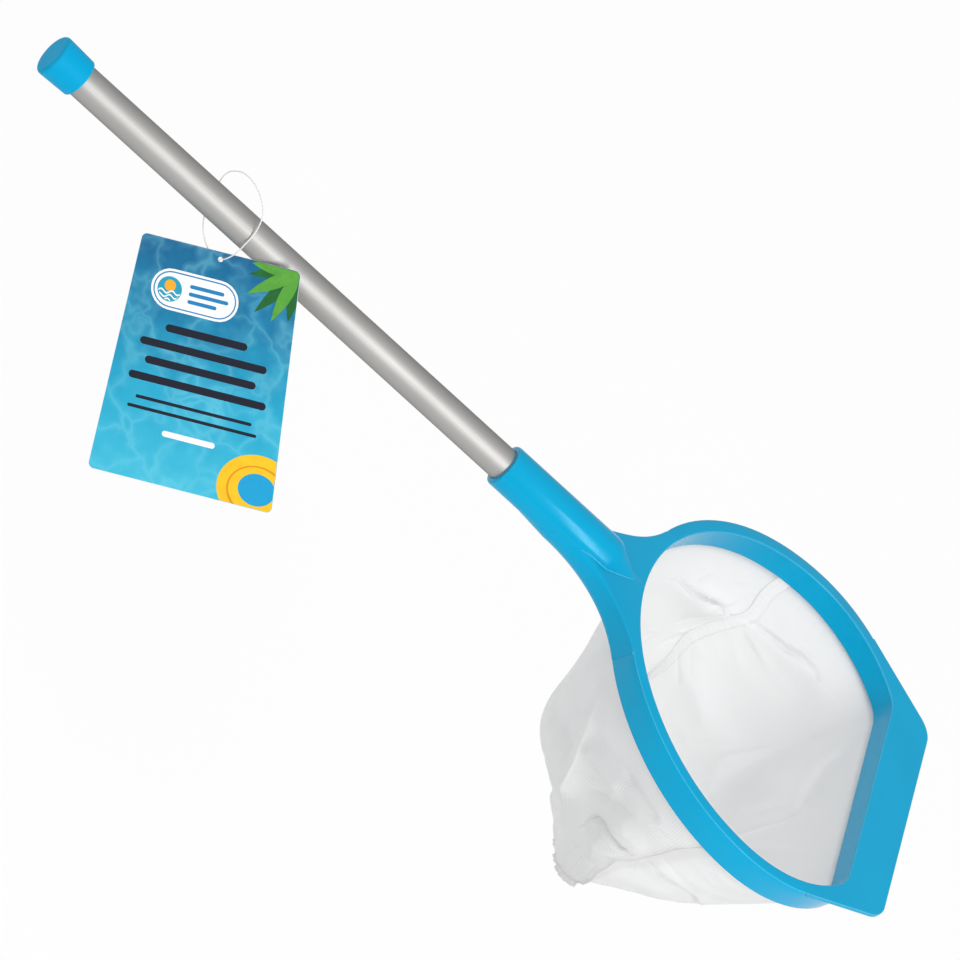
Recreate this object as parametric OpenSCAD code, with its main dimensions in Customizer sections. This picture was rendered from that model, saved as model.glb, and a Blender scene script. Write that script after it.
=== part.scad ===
// Hand leaf skimmer net: moulded rim with a tube handle and a sewn fine-mesh bag.
// Millimetres. Origin on the handle's axis, half way along its bare length.
// +X runs towards the lip, +Z out of the net's mouth.

/* [Handle] */
// Outside diameter of the aluminium tube
tube_d = 25.4; // [20:0.1:32]
// Wall thickness of the tube
tube_wall = 1.2; // [0.8:0.1:2.5]
// Bare length of the tube between the cap and the socket
grip_l = 432; // [250:1:700]
// Length of tube inside the socket
insert_l = 95; // [50:1:105]
// Gap between the tube and what it sits in, all round
tube_gap = 0.15; // [0.05:0.05:0.4]

/* [End cap] */
// Overall length of the push-on cap
cap_l = 28; // [18:1:50]
// Wall of the cap at its open end
cap_wall = 2.5; // [1.5:0.1:4]
// How much the cap's radius grows towards its closed end
cap_flare = 1.1; // [0:0.1:2.5]
// Thickness of the cap's closed end
cap_end_t = 4; // [2:0.5:8]

/* [Socket] */
// Wall of the socket around the tube
socket_wall = 4.3; // [2.5:0.1:7]
// Length from the socket's mouth to the rear edge of the opening
socket_l = 142; // [125:1:200]
// Rounding of the socket's mouth
mouth_round = 1.8; // [0.5:0.1:2.3]
// Length of the cone that ends the socket's barrel
nose_l = 29; // [15:1:35]
// Distance from that cone's tip to the opening
nose_gap = 7; // [3:0.5:20]

/* [Screw] */
// Shank diameter of the screw that holds the tube
screw_d = 3.5; // [2.5:0.1:5]
// Diameter of its pan head
head_d = 7; // [5:0.1:9]
// Height of its pan head
head_h = 2.2; // [1.5:0.1:3]
// Distance of the screw from the socket's mouth
screw_x = 30; // [15:1:45]

/* [Rim] */
// Height of the rim's flat top above the handle's axis
rim_rise = 4; // [0:0.5:8]
// Radius of the opening's rear arc
rear_r = 156; // [150:1:175]
// Radius of the opening's side arcs
side_r = 136; // [125:1:145]
// Radius of the arcs that turn in towards the lip
shoulder_r = 104; // [95:1:115]
// Radius of the opening's front corners
corner_r = 30; // [20:1:45]
// Width of the rim's flat top
rim_w = 10.5; // [9.5:0.1:14]
// Height of the rim's outer wall
outer_h = 25; // [23:0.5:34]
// Height of the rim's inner wall
inner_h = 19; // [16:0.5:21]
// How far the outer wall leans in from its top to its foot
wall_lean = 4.75; // [2:0.25:5]
// Thickness of the rim's walls
skin = 2; // [1.5:0.1:2.4]

/* [Lip] */
// Reach of the flat lip in front of the rim
lip_l = 26; // [12:1:45]
// Thickness of the lip
lip_t = 3; // [2:0.1:5]
// Width of the lip across its rounded corners
lip_w = 230; // [200:1:240]
// Radius of the lip's corners
lip_corner_r = 20; // [10:1:30]

/* [Neck] */
// Radius of the hollow flare between the socket and the rim
flare_r = 100; // [80:1:120]
// Rounding of the neck's sides where it leaves the socket
neck_round = 10.3; // [6:0.1:10.5]
// Thickness of the neck's walls over its cored-out underside
neck_wall = 3; // [2:0.1:4.5]

/* [Net] */
// Depth of the bag below the rim's inner wall
net_depth = 178; // [120:1:240]
// Thickness of the cloth as a solid
cloth_t = 1; // [0.6:0.1:1.4]
// Half width of the bag's bottom seam
seam_half = 118; // [90:1:124]
// How much higher the bottom seam's ends lie than its middle
seam_lift = 52; // [20:1:70]
// Height of the gathered edge below the bottom seam
gather_h = 7; // [4:0.5:12]
// Width of the side seams
seam_w = 7; // [4:0.5:10]
// Width of the hem that is trapped in the rim
hem_h = 11; // [6:0.5:12]

/* [Tag] */
// Width of the card across its top edge
tag_top_w = 120; // [80:1:124]
// Width of the card across its bottom edge
tag_bottom_w = 139; // [90:1:145]
// Height of the card
tag_h = 177; // [100:1:200]
// Thickness of the card
tag_t = 0.8; // [0.5:0.1:1.5]
// Radius of the card's corners
tag_corner_r = 4; // [1:0.5:8]
// Diameter of the card's hole
tag_hole_d = 3.8; // [3.2:0.1:5]
// Distance of the hole from the top edge
tag_hole_in = 5.4; // [4:0.1:8]
// Diameter of the thread
loop_d = 1; // [0.6:0.1:1.2]
// Diameter of the knot behind the card
knot_d = 3; // [2.6:0.1:3]

/* [Hidden] */

blue = [0.06, 0.62, 0.83];
net_white = [0.93, 0.93, 0.93];
silver = [0.74, 0.74, 0.73];

tube_r = tube_d / 2;
bore_r = tube_r + tube_gap;
socket_r = tube_r + socket_wall;
mouth_x = grip_l / 2;
cap_mouth_x = -grip_l / 2;
cap_end_x = cap_mouth_x - cap_l;
tube_end_x = cap_end_x + cap_end_t + tube_gap;
arc_fn = 96;
eps = 0.01;

// Rim, neck, lip and net are drawn from the middle of the opening's rear edge, level with the rim's top
rim_x = mouth_x + socket_l;
module at_rim() {
    translate([rim_x, 0, rim_rise]) children();
}

// The opening's outline, symmetric about the X axis: arcs that meet where a 3-4-5 triangle puts them,
// so that their centres stay round numbers for any radius
side_way = [-0.6, 0.8];
corner_way = [0.8, 0.6];
side_a = atan2(side_way.y, side_way.x);
corner_a = atan2(corner_way.y, corner_way.x);
rear_c = [rear_r, 0];
side_c = rear_c + (rear_r - side_r) * side_way;
shoulder_c = side_c + [0, side_r - shoulder_r];
corner_c = shoulder_c + (shoulder_r - corner_r) * corner_way;
front_x = corner_c.x + corner_r;

function arc_centre(a) =
    a > side_a ? rear_c : a > 90 ? side_c : a > corner_a ? shoulder_c : corner_c;
function arc_radius(a) =
    a > side_a ? rear_r : a > 90 ? side_r : a > corner_a ? shoulder_r : corner_r;
// Point of the outline whose outward normal lies at angle a, moved out by off
function rim_point(a, off) =
    let (b = abs(a), c = arc_centre(b), r = arc_radius(b) + off)
    [c.x + r * cos(b), (a < 0 ? -1 : 1) * (c.y + r * sin(b))];
function rim_outline(off) = [for (a = [4:4:176]) rim_point(a, off), [rear_c.x - rear_r - off, 0],
                             for (a = [-176:4:-4]) rim_point(a, off)];

// Point where two arcs meet, or its mirror image past the rear
function flip(p) = [p.x, -p.y];
function meeting(a, off) = a > 180 ? flip(rim_point(360 - a, off)) : rim_point(a, off);
wedge_in = 12;
wedge_out = 40;
// Part of the plan that one arc takes up; neighbours share their corner points
module wedge(a0, a1) {
    c = arc_centre(min((a0 + a1) / 2, 180));
    r = arc_radius(min((a0 + a1) / 2, 180)) + wedge_out;
    apex = c + r / cos((a1 - a0) / 2) * [cos((a0 + a1) / 2), sin((a0 + a1) / 2)];
    translate([0, 0, -2 * outer_h]) linear_extrude(3 * outer_h)
        polygon([meeting(a0, -wedge_in), meeting(a0, wedge_out), apex,
                 meeting(a1, wedge_out), meeting(a1, -wedge_in)]);
}

// Sweeps a section, drawn as [distance out from the opening, height], all round the opening
module arc_sweep(a0, a1) {
    c = arc_centre(min((a0 + a1) / 2, 180));
    intersection() {
        translate([c.x, c.y, 0]) rotate_extrude($fn = arc_fn)
            translate([arc_radius(min((a0 + a1) / 2, 180)), 0]) children();
        wedge(a0, a1);
    }
}

module rim_side() {
    arc_sweep(90, side_a) children();
    arc_sweep(corner_a, 90) children();
    arc_sweep(0, corner_a) children();
}

module rim_sweep() {
    at_rim() {
        arc_sweep(side_a, 360 - side_a) children();
        rim_side() children();
        mirror([0, 1, 0]) rim_side() children();
        intersection() {
            translate([front_x, 0, 0]) rotate([90, 0, 0])
                linear_extrude(2 * corner_c.y + 10, center = true) children();
            translate([0, 0, -2 * outer_h]) linear_extrude(3 * outer_h)
                polygon([rim_point(0.0, -wedge_in), rim_point(0.0, wedge_out),
                         flip(rim_point(0.0, wedge_out)), flip(rim_point(0.0, -wedge_in))]);
        }
    }
}

// Rim: a channel open underneath, its outer wall leaning in towards the foot
rim_top_t = 2.5;
rim_edge_r = 1.2;
lean = wall_lean / outer_h;
function outer_face(z) = rim_w - lean * abs(z);
function outer_inside(z) = outer_face(z) - skin;

module rim_section() {
    polygon([[0.5, 0], [rim_w - rim_edge_r, 0], [rim_w - 0.35 * rim_edge_r, -0.3 * rim_edge_r],
             [outer_face(rim_edge_r), -rim_edge_r], [outer_face(outer_h), -outer_h],
             [outer_inside(outer_h), -outer_h], [outer_inside(rim_top_t), -rim_top_t],
             [skin, -rim_top_t], [skin, -inner_h], [0, -inner_h], [0, -0.5]]);
}

// Lip: its sides are tangents shared by the rim's shoulder arcs and the lip's corners
lip_x = front_x + rim_w + lip_l;
lip_c = [lip_x - lip_corner_r, lip_w / 2 - lip_corner_r];
rim_join_r = shoulder_r + rim_w;
lip_way = lip_c - shoulder_c;
tangent_a = atan2(lip_way.y, lip_way.x) + acos((rim_join_r - lip_corner_r) / norm(lip_way));
tangent = [cos(tangent_a), sin(tangent_a)];

lip_steps = 14;
function lip_side() = concat([[front_x, shoulder_c.y], shoulder_c + rim_join_r * tangent],
    [for (i = [0:lip_steps]) let (a = tangent_a * (1 - i / lip_steps))
        lip_c + lip_corner_r * [cos(a), sin(a)]]);

module lip() {
    half = lip_side();
    at_rim() translate([0, 0, -lip_t]) linear_extrude(lip_t) difference() {
        polygon(concat(half, [for (i = [len(half) - 1:-1:0]) flip(half[i])]));
        polygon(rim_outline(rim_w - 1.15 * skin));
    }
}

// Neck: a rounded slab that flares from the socket into the rim's outer wall
flare_c = [rear_c.x - sqrt(pow(rear_r + rim_w + flare_r, 2) - pow(socket_r + flare_r, 2)),
           socket_r + flare_r];
flare_end = 90 - asin(flare_c.y / (rear_r + rim_w + flare_r));
socket_foot = rim_rise + socket_r;
flare_reach = 0.97;
neck_root = 1;
neck_lead = 26;
neck_steps = 22;
corner_steps = 7;

function blend(a, b, t) = a + (b - a) * t;
function late(t) = pow(t, 2.2);
function ease(x, a, b) = let (t = max(0, min(1, (x - a) / (b - a)))) t * t * (3 - 2 * t);
// Section of the neck: half width, height, roundings and lean, as [y, z] points
function neck_ring(w, h, top_r, foot_r, foot_in) =
    let (right = concat(
            [for (i = [0:corner_steps]) let (a = 90 - 90 * i / corner_steps)
                [w - top_r + top_r * cos(a), -top_r + top_r * sin(a)]],
            [for (i = [0:corner_steps]) let (a = -90 * i / corner_steps)
                [w - foot_in - foot_r + foot_r * cos(a), -h + foot_r + foot_r * sin(a)]]),
         n = len(right))
    concat(right, [for (i = [n - 1:-1:0]) [-right[i].x, right[i].y]]);
function neck_station(t) =
    let (b = flare_reach * flare_end * t, w = flare_c.y - flare_r * cos(b),
         top_r = blend(neck_round, rim_edge_r + 0.3, ease(t, 0.05, 0.6)),
         foot_r = blend(neck_round, rim_edge_r + 0.3, late(t)),
         h = blend(socket_foot - 0.3, outer_h, late(t)))
    [flare_c.x + flare_r * sin(b), neck_ring(w, h, top_r, foot_r, wall_lean * ease(t, 0, 0.8) / cos(b))];
function as_ring(s) = [for (p = s[1]) [s[0], p.x, p.y]];

module loft(rings) {
    n = len(rings[0]);
    m = len(rings);
    points = [for (ring = rings) each ring];
    sides = [for (i = [0:m - 2], j = [0:n - 1]) let (k = (j + 1) % n)
        each [[i * n + j, i * n + k, (i + 1) * n + k], [i * n + j, (i + 1) * n + k, (i + 1) * n + j]]];
    first = [for (j = [n - 1:-1:0]) j];
    last = [for (j = [0:n - 1]) (m - 1) * n + j];
    polyhedron(points, concat([first, last], sides), convexity = 6);
}

module neck() {
    lead = neck_station(0);
    slim = [lead[0] - neck_lead, neck_ring(socket_r - 4.5, socket_foot - 1.5, 7, 7, 0)];
    end = neck_station(1);
    at_rim() difference() {
        loft(concat([as_ring(slim)], [for (i = [0:neck_steps]) as_ring(neck_station(i / neck_steps))],
                    [as_ring([end[0] + neck_root, end[1]])]));
        translate([rear_c.x, 0, -outer_h - 1])
            cylinder(h = outer_h + 3, r1 = rear_r + outer_inside(outer_h + 1) + skin / 2,
                     r2 = rear_r + outer_inside(-2) + skin / 2, $fn = 2 * arc_fn);
    }
}

// Pockets that core out the neck from below, with ribs left between them
pocket_x = insert_l + 10 - socket_l;
pocket_y = 0.85 * flare_c.y * (rear_r + rim_w) / (rear_r + rim_w + flare_r);
neck_top_t = 4.5;
module neck_pockets() {
    at_rim() translate([0, 0, -outer_h - 2]) linear_extrude(outer_h + 2 - neck_top_t) difference() {
        translate([pocket_x, -pocket_y]) square([rear_r / 4 - pocket_x, 2 * pocket_y]);
        for (s = [-1, 1])
            translate([flare_c.x, s * flare_c.y]) circle(flare_r + neck_round + 0.5, $fn = arc_fn);
        translate(rear_c) circle(rear_r + rim_w + 1, $fn = arc_fn);
        for (a = [-9.5, 0, 9.5])
            translate(rear_c) rotate(180 + a) translate([rear_r, -neck_wall / 2])
                square([flare_r, neck_wall]);
    }
}

// Socket: a barrel round the tube, whose far end is a cone that sinks into the neck
barrel_l = socket_l - nose_gap;
nose_tip_r = 3;
module barrel() {
    translate([mouth_x, 0, 0]) rotate([0, 90, 0]) rotate_extrude($fn = arc_fn)
        polygon([[0, 0], [socket_r - mouth_round, 0], [socket_r - 0.3 * mouth_round, 0.3 * mouth_round],
                 [socket_r, mouth_round], [socket_r, barrel_l - 1.15 * nose_l],
                 [socket_r - 0.6, barrel_l - 0.98 * nose_l], [nose_tip_r, barrel_l - 1], [0, barrel_l]]);
}

screw_seat_z = -socket_r + 0.8;
screw_gap = 0.3;
module screw_way() {
    translate([mouth_x + screw_x, 0, -socket_r - 1]) {
        cylinder(h = socket_r, d = screw_d + 2 * screw_gap, $fn = 48);
        cylinder(h = screw_seat_z + socket_r + 1, d = head_d + 2, $fn = 48);
    }
}

module net_frame() {
    color(blue) difference() {
        union() {
            rim_sweep() rim_section();
            lip();
            neck();
            barrel();
        }
        translate([mouth_x - 1, 0, 0]) rotate([0, 90, 0])
            cylinder(h = insert_l + 1.5, r = bore_r, $fn = arc_fn);
        screw_way();
        neck_pockets();
    }
}

// Retaining ring and hem, one beside the other in the rim's channel
seat_gap = 0.3;
hem_t = 0.5;
hem_in = skin + seat_gap;
hem_out = hem_in + hem_t;
ring_in = hem_out + seat_gap;
ring_top = rim_top_t + 5.5;
module net_retaining_ring() {
    color(blue) rim_sweep() polygon([
        [ring_in, -ring_top], [ring_in, -inner_h - 1], [outer_inside(inner_h + 1) - seat_gap, -inner_h - 1],
        [outer_inside(inner_h - 3) - seat_gap, -inner_h + 3],
        [outer_inside(inner_h - 3) - seat_gap, -ring_top]]);
}

module net_mouth_hem() {
    color(net_white) rim_sweep() polygon([
        [hem_in, -inner_h - 0.7 + hem_h], [hem_in, -inner_h - 0.7],
        [hem_out, -inner_h - 0.7], [hem_out, -inner_h - 0.7 + hem_h]]);
}

// Net: two panels joined by side seams and by a bottom seam that curves up at its ends
seam_a = 98;
seam_gap = 0.45;
net_top = -inner_h - 0.7 - seat_gap;
seam_foot = -inner_h - net_depth;
cloth_off = (hem_in + hem_out) / 2;
straight = 0.45;
bottom_x = seam_side_x() - 13;
panel_cols = 36;
panel_rows = 18;
function seam_side_x() = rim_point(seam_a, 0).x;
function seam_z(a) = seam_foot + seam_lift * pow(abs(a), 2.2);
// Angle of the outline's normal at a, from -1 at the near seam to 1 at the far one
function back_angle(a) = 180 - (180 - seam_a) * a;
function front_angle(a) = sign(a) * seam_a * (abs(a) - straight) / (1 - straight);
function back_top(a) = rim_point(a < 0 ? back_angle(a) - 360 : back_angle(a), cloth_off);
function front_top(a) =
    abs(a) < straight ? [front_x + cloth_off, corner_c.y * a / straight]
        : rim_point(front_angle(a), cloth_off);
// Fold: height of a ridge along the line from p to q, both as [a, turn]
function ridge(at, p, q, width, height) =
    let (d = q - p, s = max(0, min(1, ((at - p) * d) / (d * d))))
    height * exp(-pow(norm(at - p - s * d) / width, 2));
function fold_sum(at, folds) = len(folds) == 0 ? 0
    : [for (f = folds) ridge(at, f[0], f[1], f[2], f[3])] * [for (f = folds) 1];
// Folds of each panel as [[a, turn], [a, turn], width, height]; turn is 0 at the mouth, 1 at the seam
back_folds = [[[-0.26, 0.08], [-0.42, 0.52], 0.05, 4], [[-0.42, 0.52], [-0.5, 0.97], 0.05, 4],
              [[-0.47, 0.3], [-0.6, 0.48], 0.08, 5], [[-0.56, 0.2], [-0.78, 0.3], 0.07, -6],
              [[-0.57, 0.49], [-0.88, 0.47], 0.06, 5], [[-0.62, 0.6], [-0.92, 0.58], 0.06, -6],
              [[0.5, 0.13], [0.8, 0.27], 0.06, -7], [[0.8, 0.27], [0.97, 0.36], 0.06, -9],
              [[0.1, 0.3], [0.35, 0.7], 0.12, -5]];
front_folds = [[[0.02, 0.46], [0.12, 0.24], 0.07, 5], [[0.12, 0.24], [0.34, 0.08], 0.07, 5],
               [[0.97, 0.33], [0.76, 0.14], 0.05, -8], [[0.84, 0.62], [0.5, 0.5], 0.09, -5],
               [[-0.97, 0.55], [-0.78, 0.33], 0.07, -5], [[0.55, 0.25], [0.35, 0.45], 0.1, 3],
               [[-0.5, 0.55], [-0.3, 0.9], 0.08, 4]];
// Bend of each panel's profile, as shares of its reach and of its depth, straight runs on both sides of it
bend_softness = 0.1;
function back_bend(a) =
    let (s = (1 - pow(a, 6)) * ease(a, -0.62, -0.02) * (1 - 0.45 * ease(a, 0.05, 0.5)))
    [0.53 + 0.15 * s, 0.53 + 0.17 * s];
function front_bend(a) =
    let (s = (1 - pow(a, 6)) * (0.6 + 0.4 * ease(a, -0.7, 0.2))) [0.53 + 0.13 * s, 0.53 + 0.13 * s];
function run(u) =
    u + 0.5 + sqrt(u * u + bend_softness * bend_softness) - sqrt(0.25 + bend_softness * bend_softness);
function panel_point(a, turn, top, seam_x, folds, bend) =
    let (foot = [seam_x, seam_half * a], span = top - foot, out = span / max(norm(span), 1),
         early = run(0.5 - turn), later = run(turn - 0.5),
         reach = bend.x + (1 - bend.x) * early - bend.x * later,
         sink = bend.y - bend.y * early + (1 - bend.y) * later,
         fold = fold_sum([a, turn], folds) * sin(180 * turn) * (1 - pow(a, 8)))
    [foot.x + span.x * reach + fold * out.x * cos(90 * turn),
     foot.y + span.y * reach + fold * out.y * cos(90 * turn),
     net_top + (seam_z(a) - net_top) * sink - fold * sin(90 * turn)];
function back_point(a, turn) =
    panel_point(a, turn, back_top(a) - [seam_gap * abs(a), 0], bottom_x - seam_gap, back_folds, back_bend(a));
function front_point(a, turn) =
    panel_point(a, turn, front_top(a) + [seam_gap * abs(a), 0], bottom_x + seam_gap, front_folds,
                front_bend(a));

function unit(v) = v / max(norm(v), 1e-9);
// Outer and inner faces of a sheet given as a grid of points
function sheet_face(grid, off) =
    let (m = len(grid), n = len(grid[0]))
    [for (i = [0:m - 1]) [for (j = [0:n - 1])
        let (du = grid[min(i + 1, m - 1)][j] - grid[max(i - 1, 0)][j],
             dv = grid[i][min(j + 1, n - 1)] - grid[i][max(j - 1, 0)])
        grid[i][j] + off * unit(cross(du, dv))]];
module sheet(grid, t) {
    m = len(grid);
    n = len(grid[0]);
    points = concat([for (row = sheet_face(grid, t / 2)) each row],
                    [for (row = sheet_face(grid, -t / 2)) each row]);
    s = m * n;
    up = [for (i = [0:m - 2], j = [0:n - 2]) let (p = i * n + j)
        each [[p, p + n, p + n + 1], [p, p + n + 1, p + 1]]];
    down = [for (f = up) [f[2] + s, f[1] + s, f[0] + s]];
    ring = concat([for (j = [0:n - 1]) j], [for (i = [1:m - 1]) i * n + n - 1],
                  [for (j = [n - 2:-1:0]) (m - 1) * n + j], [for (i = [m - 2:-1:1]) i * n]);
    edge = [for (k = [0:len(ring) - 1]) let (p = ring[k], q = ring[(k + 1) % len(ring)])
        each [[p, q, q + s], [p, q + s, p + s]]];
    polyhedron(points, concat(up, down, edge), convexity = 8);
}
// Columns are closer together near the seams, where the outline turns least
function spread(k, n) = 2 * k / n - 1;

module net_back_panel() {
    color(net_white) at_rim()
        sheet([for (i = [0:panel_cols]) [for (j = [0:panel_rows])
            back_point(spread(i, panel_cols), j / panel_rows)]], cloth_t);
}

module net_front_panel() {
    color(net_white) at_rim()
        sheet([for (i = [0:panel_cols]) [for (j = [0:panel_rows])
            front_point(spread(panel_cols - i, panel_cols), j / panel_rows)]], cloth_t);
}

// Side seams: a felled strip on the inside of the front panel, beside each seam
strip_t = 0.6;
strip_rows = 14;
strip_gap = 0.4;
strip_in = cloth_t / 2 + strip_gap + strip_t / 2;
// A strip's line down the panel, laid on the panel's own facets
function strip_point(side, j, part) =
    let (p = front_point(side, j / panel_rows),
         q = front_point(side * spread(panel_cols - 1, panel_cols), j / panel_rows),
         share = min(seam_w / norm(q - p), 0.97))
    p + (0.04 + part * share) * (q - p);
module side_seam(side) {
    grid = sheet_face([for (k = [0, 1]) [for (j = [0:strip_rows]) strip_point(side, j, k)]], side * strip_in);
    sheet(grid, strip_t);
}
module net_side_seams() {
    color(net_white) at_rim() {
        side_seam(-1);
        side_seam(1);
    }
}

// Gathered edge that stands out below the bottom seam in small waves
waves = 15;
wave_steps = 8;
wave_h = 2.4;
gather_t = 0.8;
function seam_slope(a) =
    let (d = [2 * seam_half * 0.01, seam_z(a + 0.01) - seam_z(a - 0.01)]) d / norm(d);
function gather_line(k, drop) =
    let (a = spread(k, waves * wave_steps) * 0.94,
         swing = wave_h * (1 - 0.6 * a * a) * sin(360 * k / wave_steps),
         way = seam_slope(a), far = cloth_t / 2 + seat_gap + drop * (gather_h - cloth_t / 2 - seat_gap))
    [bottom_x + swing * (0.1 + 0.9 * drop), seam_half * a + way.y * far, seam_z(a) - way.x * far];
function gather_from(k) = 0.05 + 0.36 * pow(spread(k, waves * wave_steps), 2);
module net_bottom_gather() {
    color(net_white) at_rim()
        sheet([for (k = [0:waves * wave_steps]) [gather_line(k, gather_from(k)), gather_line(k, 1)]],
              gather_t);
}

module handle_tube() {
    color(silver) difference() {
        translate([tube_end_x, 0, 0]) rotate([0, 90, 0]) difference() {
            cylinder(h = mouth_x + insert_l - tube_end_x, r = tube_r, $fn = arc_fn);
            translate([0, 0, -1])
                cylinder(h = mouth_x + insert_l - tube_end_x + 2, r = tube_r - tube_wall, $fn = arc_fn);
        }
        translate([mouth_x + screw_x, 0, -tube_r - 1])
            cylinder(h = tube_r, d = screw_d + 2 * screw_gap, $fn = 48);
    }
}

module handle_end_cap() {
    out_r = bore_r + cap_wall;
    end_r = out_r + cap_flare;
    edge = 3;
    color(blue) translate([cap_mouth_x, 0, 0]) rotate([0, -90, 0]) rotate_extrude($fn = arc_fn)
        polygon(concat(
            [[bore_r, 0], [out_r - 1, 0], [out_r - 0.3, 0.3], [out_r, 1]],
            [for (a = [0:15:75]) [end_r - edge + edge * cos(a), cap_l - edge + edge * sin(a)]],
            [[end_r - edge, cap_l], [0, cap_l], [0, cap_l - cap_end_t], [bore_r, cap_l - cap_end_t]]));
}

module socket_screw() {
    color(silver) translate([mouth_x + screw_x, 0, 0]) {
        translate([0, 0, screw_seat_z - eps])
            cylinder(h = tube_r - tube_wall - 4 + eps - 2, d = screw_d, $fn = 48);
        translate([0, 0, screw_seat_z - head_h]) rotate_extrude($fn = 48)
            polygon([[0, 0], [head_d * 0.28, 0], [head_d * 0.43, head_h * 0.25], [head_d / 2, head_h * 0.6],
                     [head_d / 2, head_h], [0, head_h]]);
    }
}

// Tag: a tapered card that hangs beside the tube; its hole lies at tag_at, its turn is tag_turn
tag_at = [-43.9, -10.3, -26.3];
tag_turn = [75, -43, -15];
module card_corners() {
    for (s = [-1, 1]) {
        translate([s * (tag_top_w / 2 - tag_corner_r), tag_hole_in - tag_corner_r]) children();
        translate([s * (tag_bottom_w / 2 - tag_corner_r), tag_hole_in - tag_h + tag_corner_r]) children();
    }
}
module hang_tag() {
    color([0.1, 0.55, 0.78]) translate(tag_at) rotate(tag_turn) translate([0, 0, -tag_t / 2])
        linear_extrude(tag_t) difference() {
            hull() card_corners() circle(tag_corner_r, $fn = 32);
            circle(d = tag_hole_d, $fn = 32);
        }
}

// Thread: from the knot behind the card, through the hole, round the tube and back to the knot
loop_points = [[-43.7, -9.1, -29.6], [-43.8, -10.0, -27.5], [-43.6, -10.8, -25.0], [-42.9, -11.8, -22.5],
               [-42.7, -13.7, -15.5], [-43.5, -15.5, -8.0], [-44.8, -15.0, 0.0], [-45.8, -10.5, 10.5],
               [-48.4, -4.6, 18.0], [-52.2, 1.0, 22.2], [-60.2, 8.0, 25.0], [-68.6, 14.7, 24.7],
               [-75.7, 19.3, 21.5], [-80.0, 21.3, 16.2], [-82.1, 21.6, 10.0], [-80.9, 19.4, 1.8],
               [-77.5, 14.7, -9.2], [-71.8, 8.4, -19.5], [-65.7, 4.1, -26.0], [-60.2, 0.6, -29.5],
               [-54.8, -3.1, -31.0], [-50.1, -5.9, -31.5], [-46.4, -7.6, -31.5]];
knot_at = [-44.8, -8.3, -31.0];
loop_sides = 8;
loop_between = 3;
function catmull(p, q, r, s, t) =
    0.5 * (2 * q + (r - p) * t + (2 * p - 5 * q + 4 * r - s) * t * t + (3 * q - p - 3 * r + s) * t * t * t);
function smooth(pts) =
    let (n = len(pts))
    concat([for (i = [0:n - 2], k = [0:loop_between - 1])
        catmull(pts[max(i - 1, 0)], pts[i], pts[i + 1], pts[min(i + 2, n - 1)], k / loop_between)],
        [pts[n - 1]]);
// Rings of a round cord along a path, each turned as little as can be from the last
function frame_at(path, i, side) =
    let (n = len(path), d = unit(path[min(i + 1, n - 1)] - path[max(i - 1, 0)]))
    unit(side - (side * d) * d);
function sides_along(path) =
    [for (i = 0, s = frame_at(path, 0, [1, 0.3, 0]); i < len(path);
          i = i + 1, s = frame_at(path, min(i, len(path) - 1), s)) s];
module cord(path, d) {
    sides = sides_along(path);
    n = len(path);
    loft([for (i = [0:n - 1])
        let (way = unit(path[min(i + 1, n - 1)] - path[max(i - 1, 0)]), u = sides[i], v = cross(way, u))
        [for (k = [0:loop_sides - 1]) path[i] + d / 2 * (u * cos(360 * k / loop_sides)
                                                         - v * sin(360 * k / loop_sides))]]);
}
module tag_loop() {
    color("white") cord(smooth(loop_points), loop_d);
}

module tag_loop_knot() {
    color("white") translate(knot_at) rotate(tag_turn) sphere(d = knot_d, $fn = 32);
}

net_frame();
net_retaining_ring();
net_mouth_hem();
net_back_panel();
net_front_panel();
net_side_seams();
net_bottom_gather();
handle_tube();
handle_end_cap();
socket_screw();
hang_tag();
tag_loop();
tag_loop_knot();
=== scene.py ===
"""Dresses a hand leaf skimmer net: mesh bag, stitching, printed card, thread loop and mould finishes."""

import logging
import math
from dataclasses import dataclass, field
from enum import Enum
from typing import Iterable, Sequence

import bmesh
import bpy
import numpy as np
from mathutils import Matrix, Vector
from mathutils.geometry import tessellate_polygon


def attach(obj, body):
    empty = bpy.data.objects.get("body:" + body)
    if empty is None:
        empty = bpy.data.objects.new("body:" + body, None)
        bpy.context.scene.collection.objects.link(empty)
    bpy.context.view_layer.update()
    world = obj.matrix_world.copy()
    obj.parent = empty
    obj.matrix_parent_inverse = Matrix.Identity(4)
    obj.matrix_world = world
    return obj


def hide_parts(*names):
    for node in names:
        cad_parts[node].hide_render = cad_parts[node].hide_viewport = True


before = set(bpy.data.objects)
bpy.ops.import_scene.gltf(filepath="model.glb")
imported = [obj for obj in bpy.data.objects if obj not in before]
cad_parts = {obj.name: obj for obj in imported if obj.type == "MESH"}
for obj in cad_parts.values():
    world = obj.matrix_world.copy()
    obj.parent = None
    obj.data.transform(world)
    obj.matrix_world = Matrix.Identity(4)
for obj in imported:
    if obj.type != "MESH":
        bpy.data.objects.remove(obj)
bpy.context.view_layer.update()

LOG = logging.getLogger("skimmer")
MM = 0.001
Socket = bpy.types.NodeSocket
Point = tuple[float, float, float]
Spot = tuple[float, float]
Colour = tuple[float, float, float]

# A point well inside the bag, in millimetres.
BAG_MIDDLE: Point = (500.0, 0.0, -60.0)
# How far apart a wave texture's stripes are at scale 1.
STRIPE = math.pi / 10


# --------------------------------------------------------------------------- shading


class Pattern(Enum):
    """Where a material's patterns are read from."""

    OBJECT = "Object"
    UV = "UV"


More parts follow.
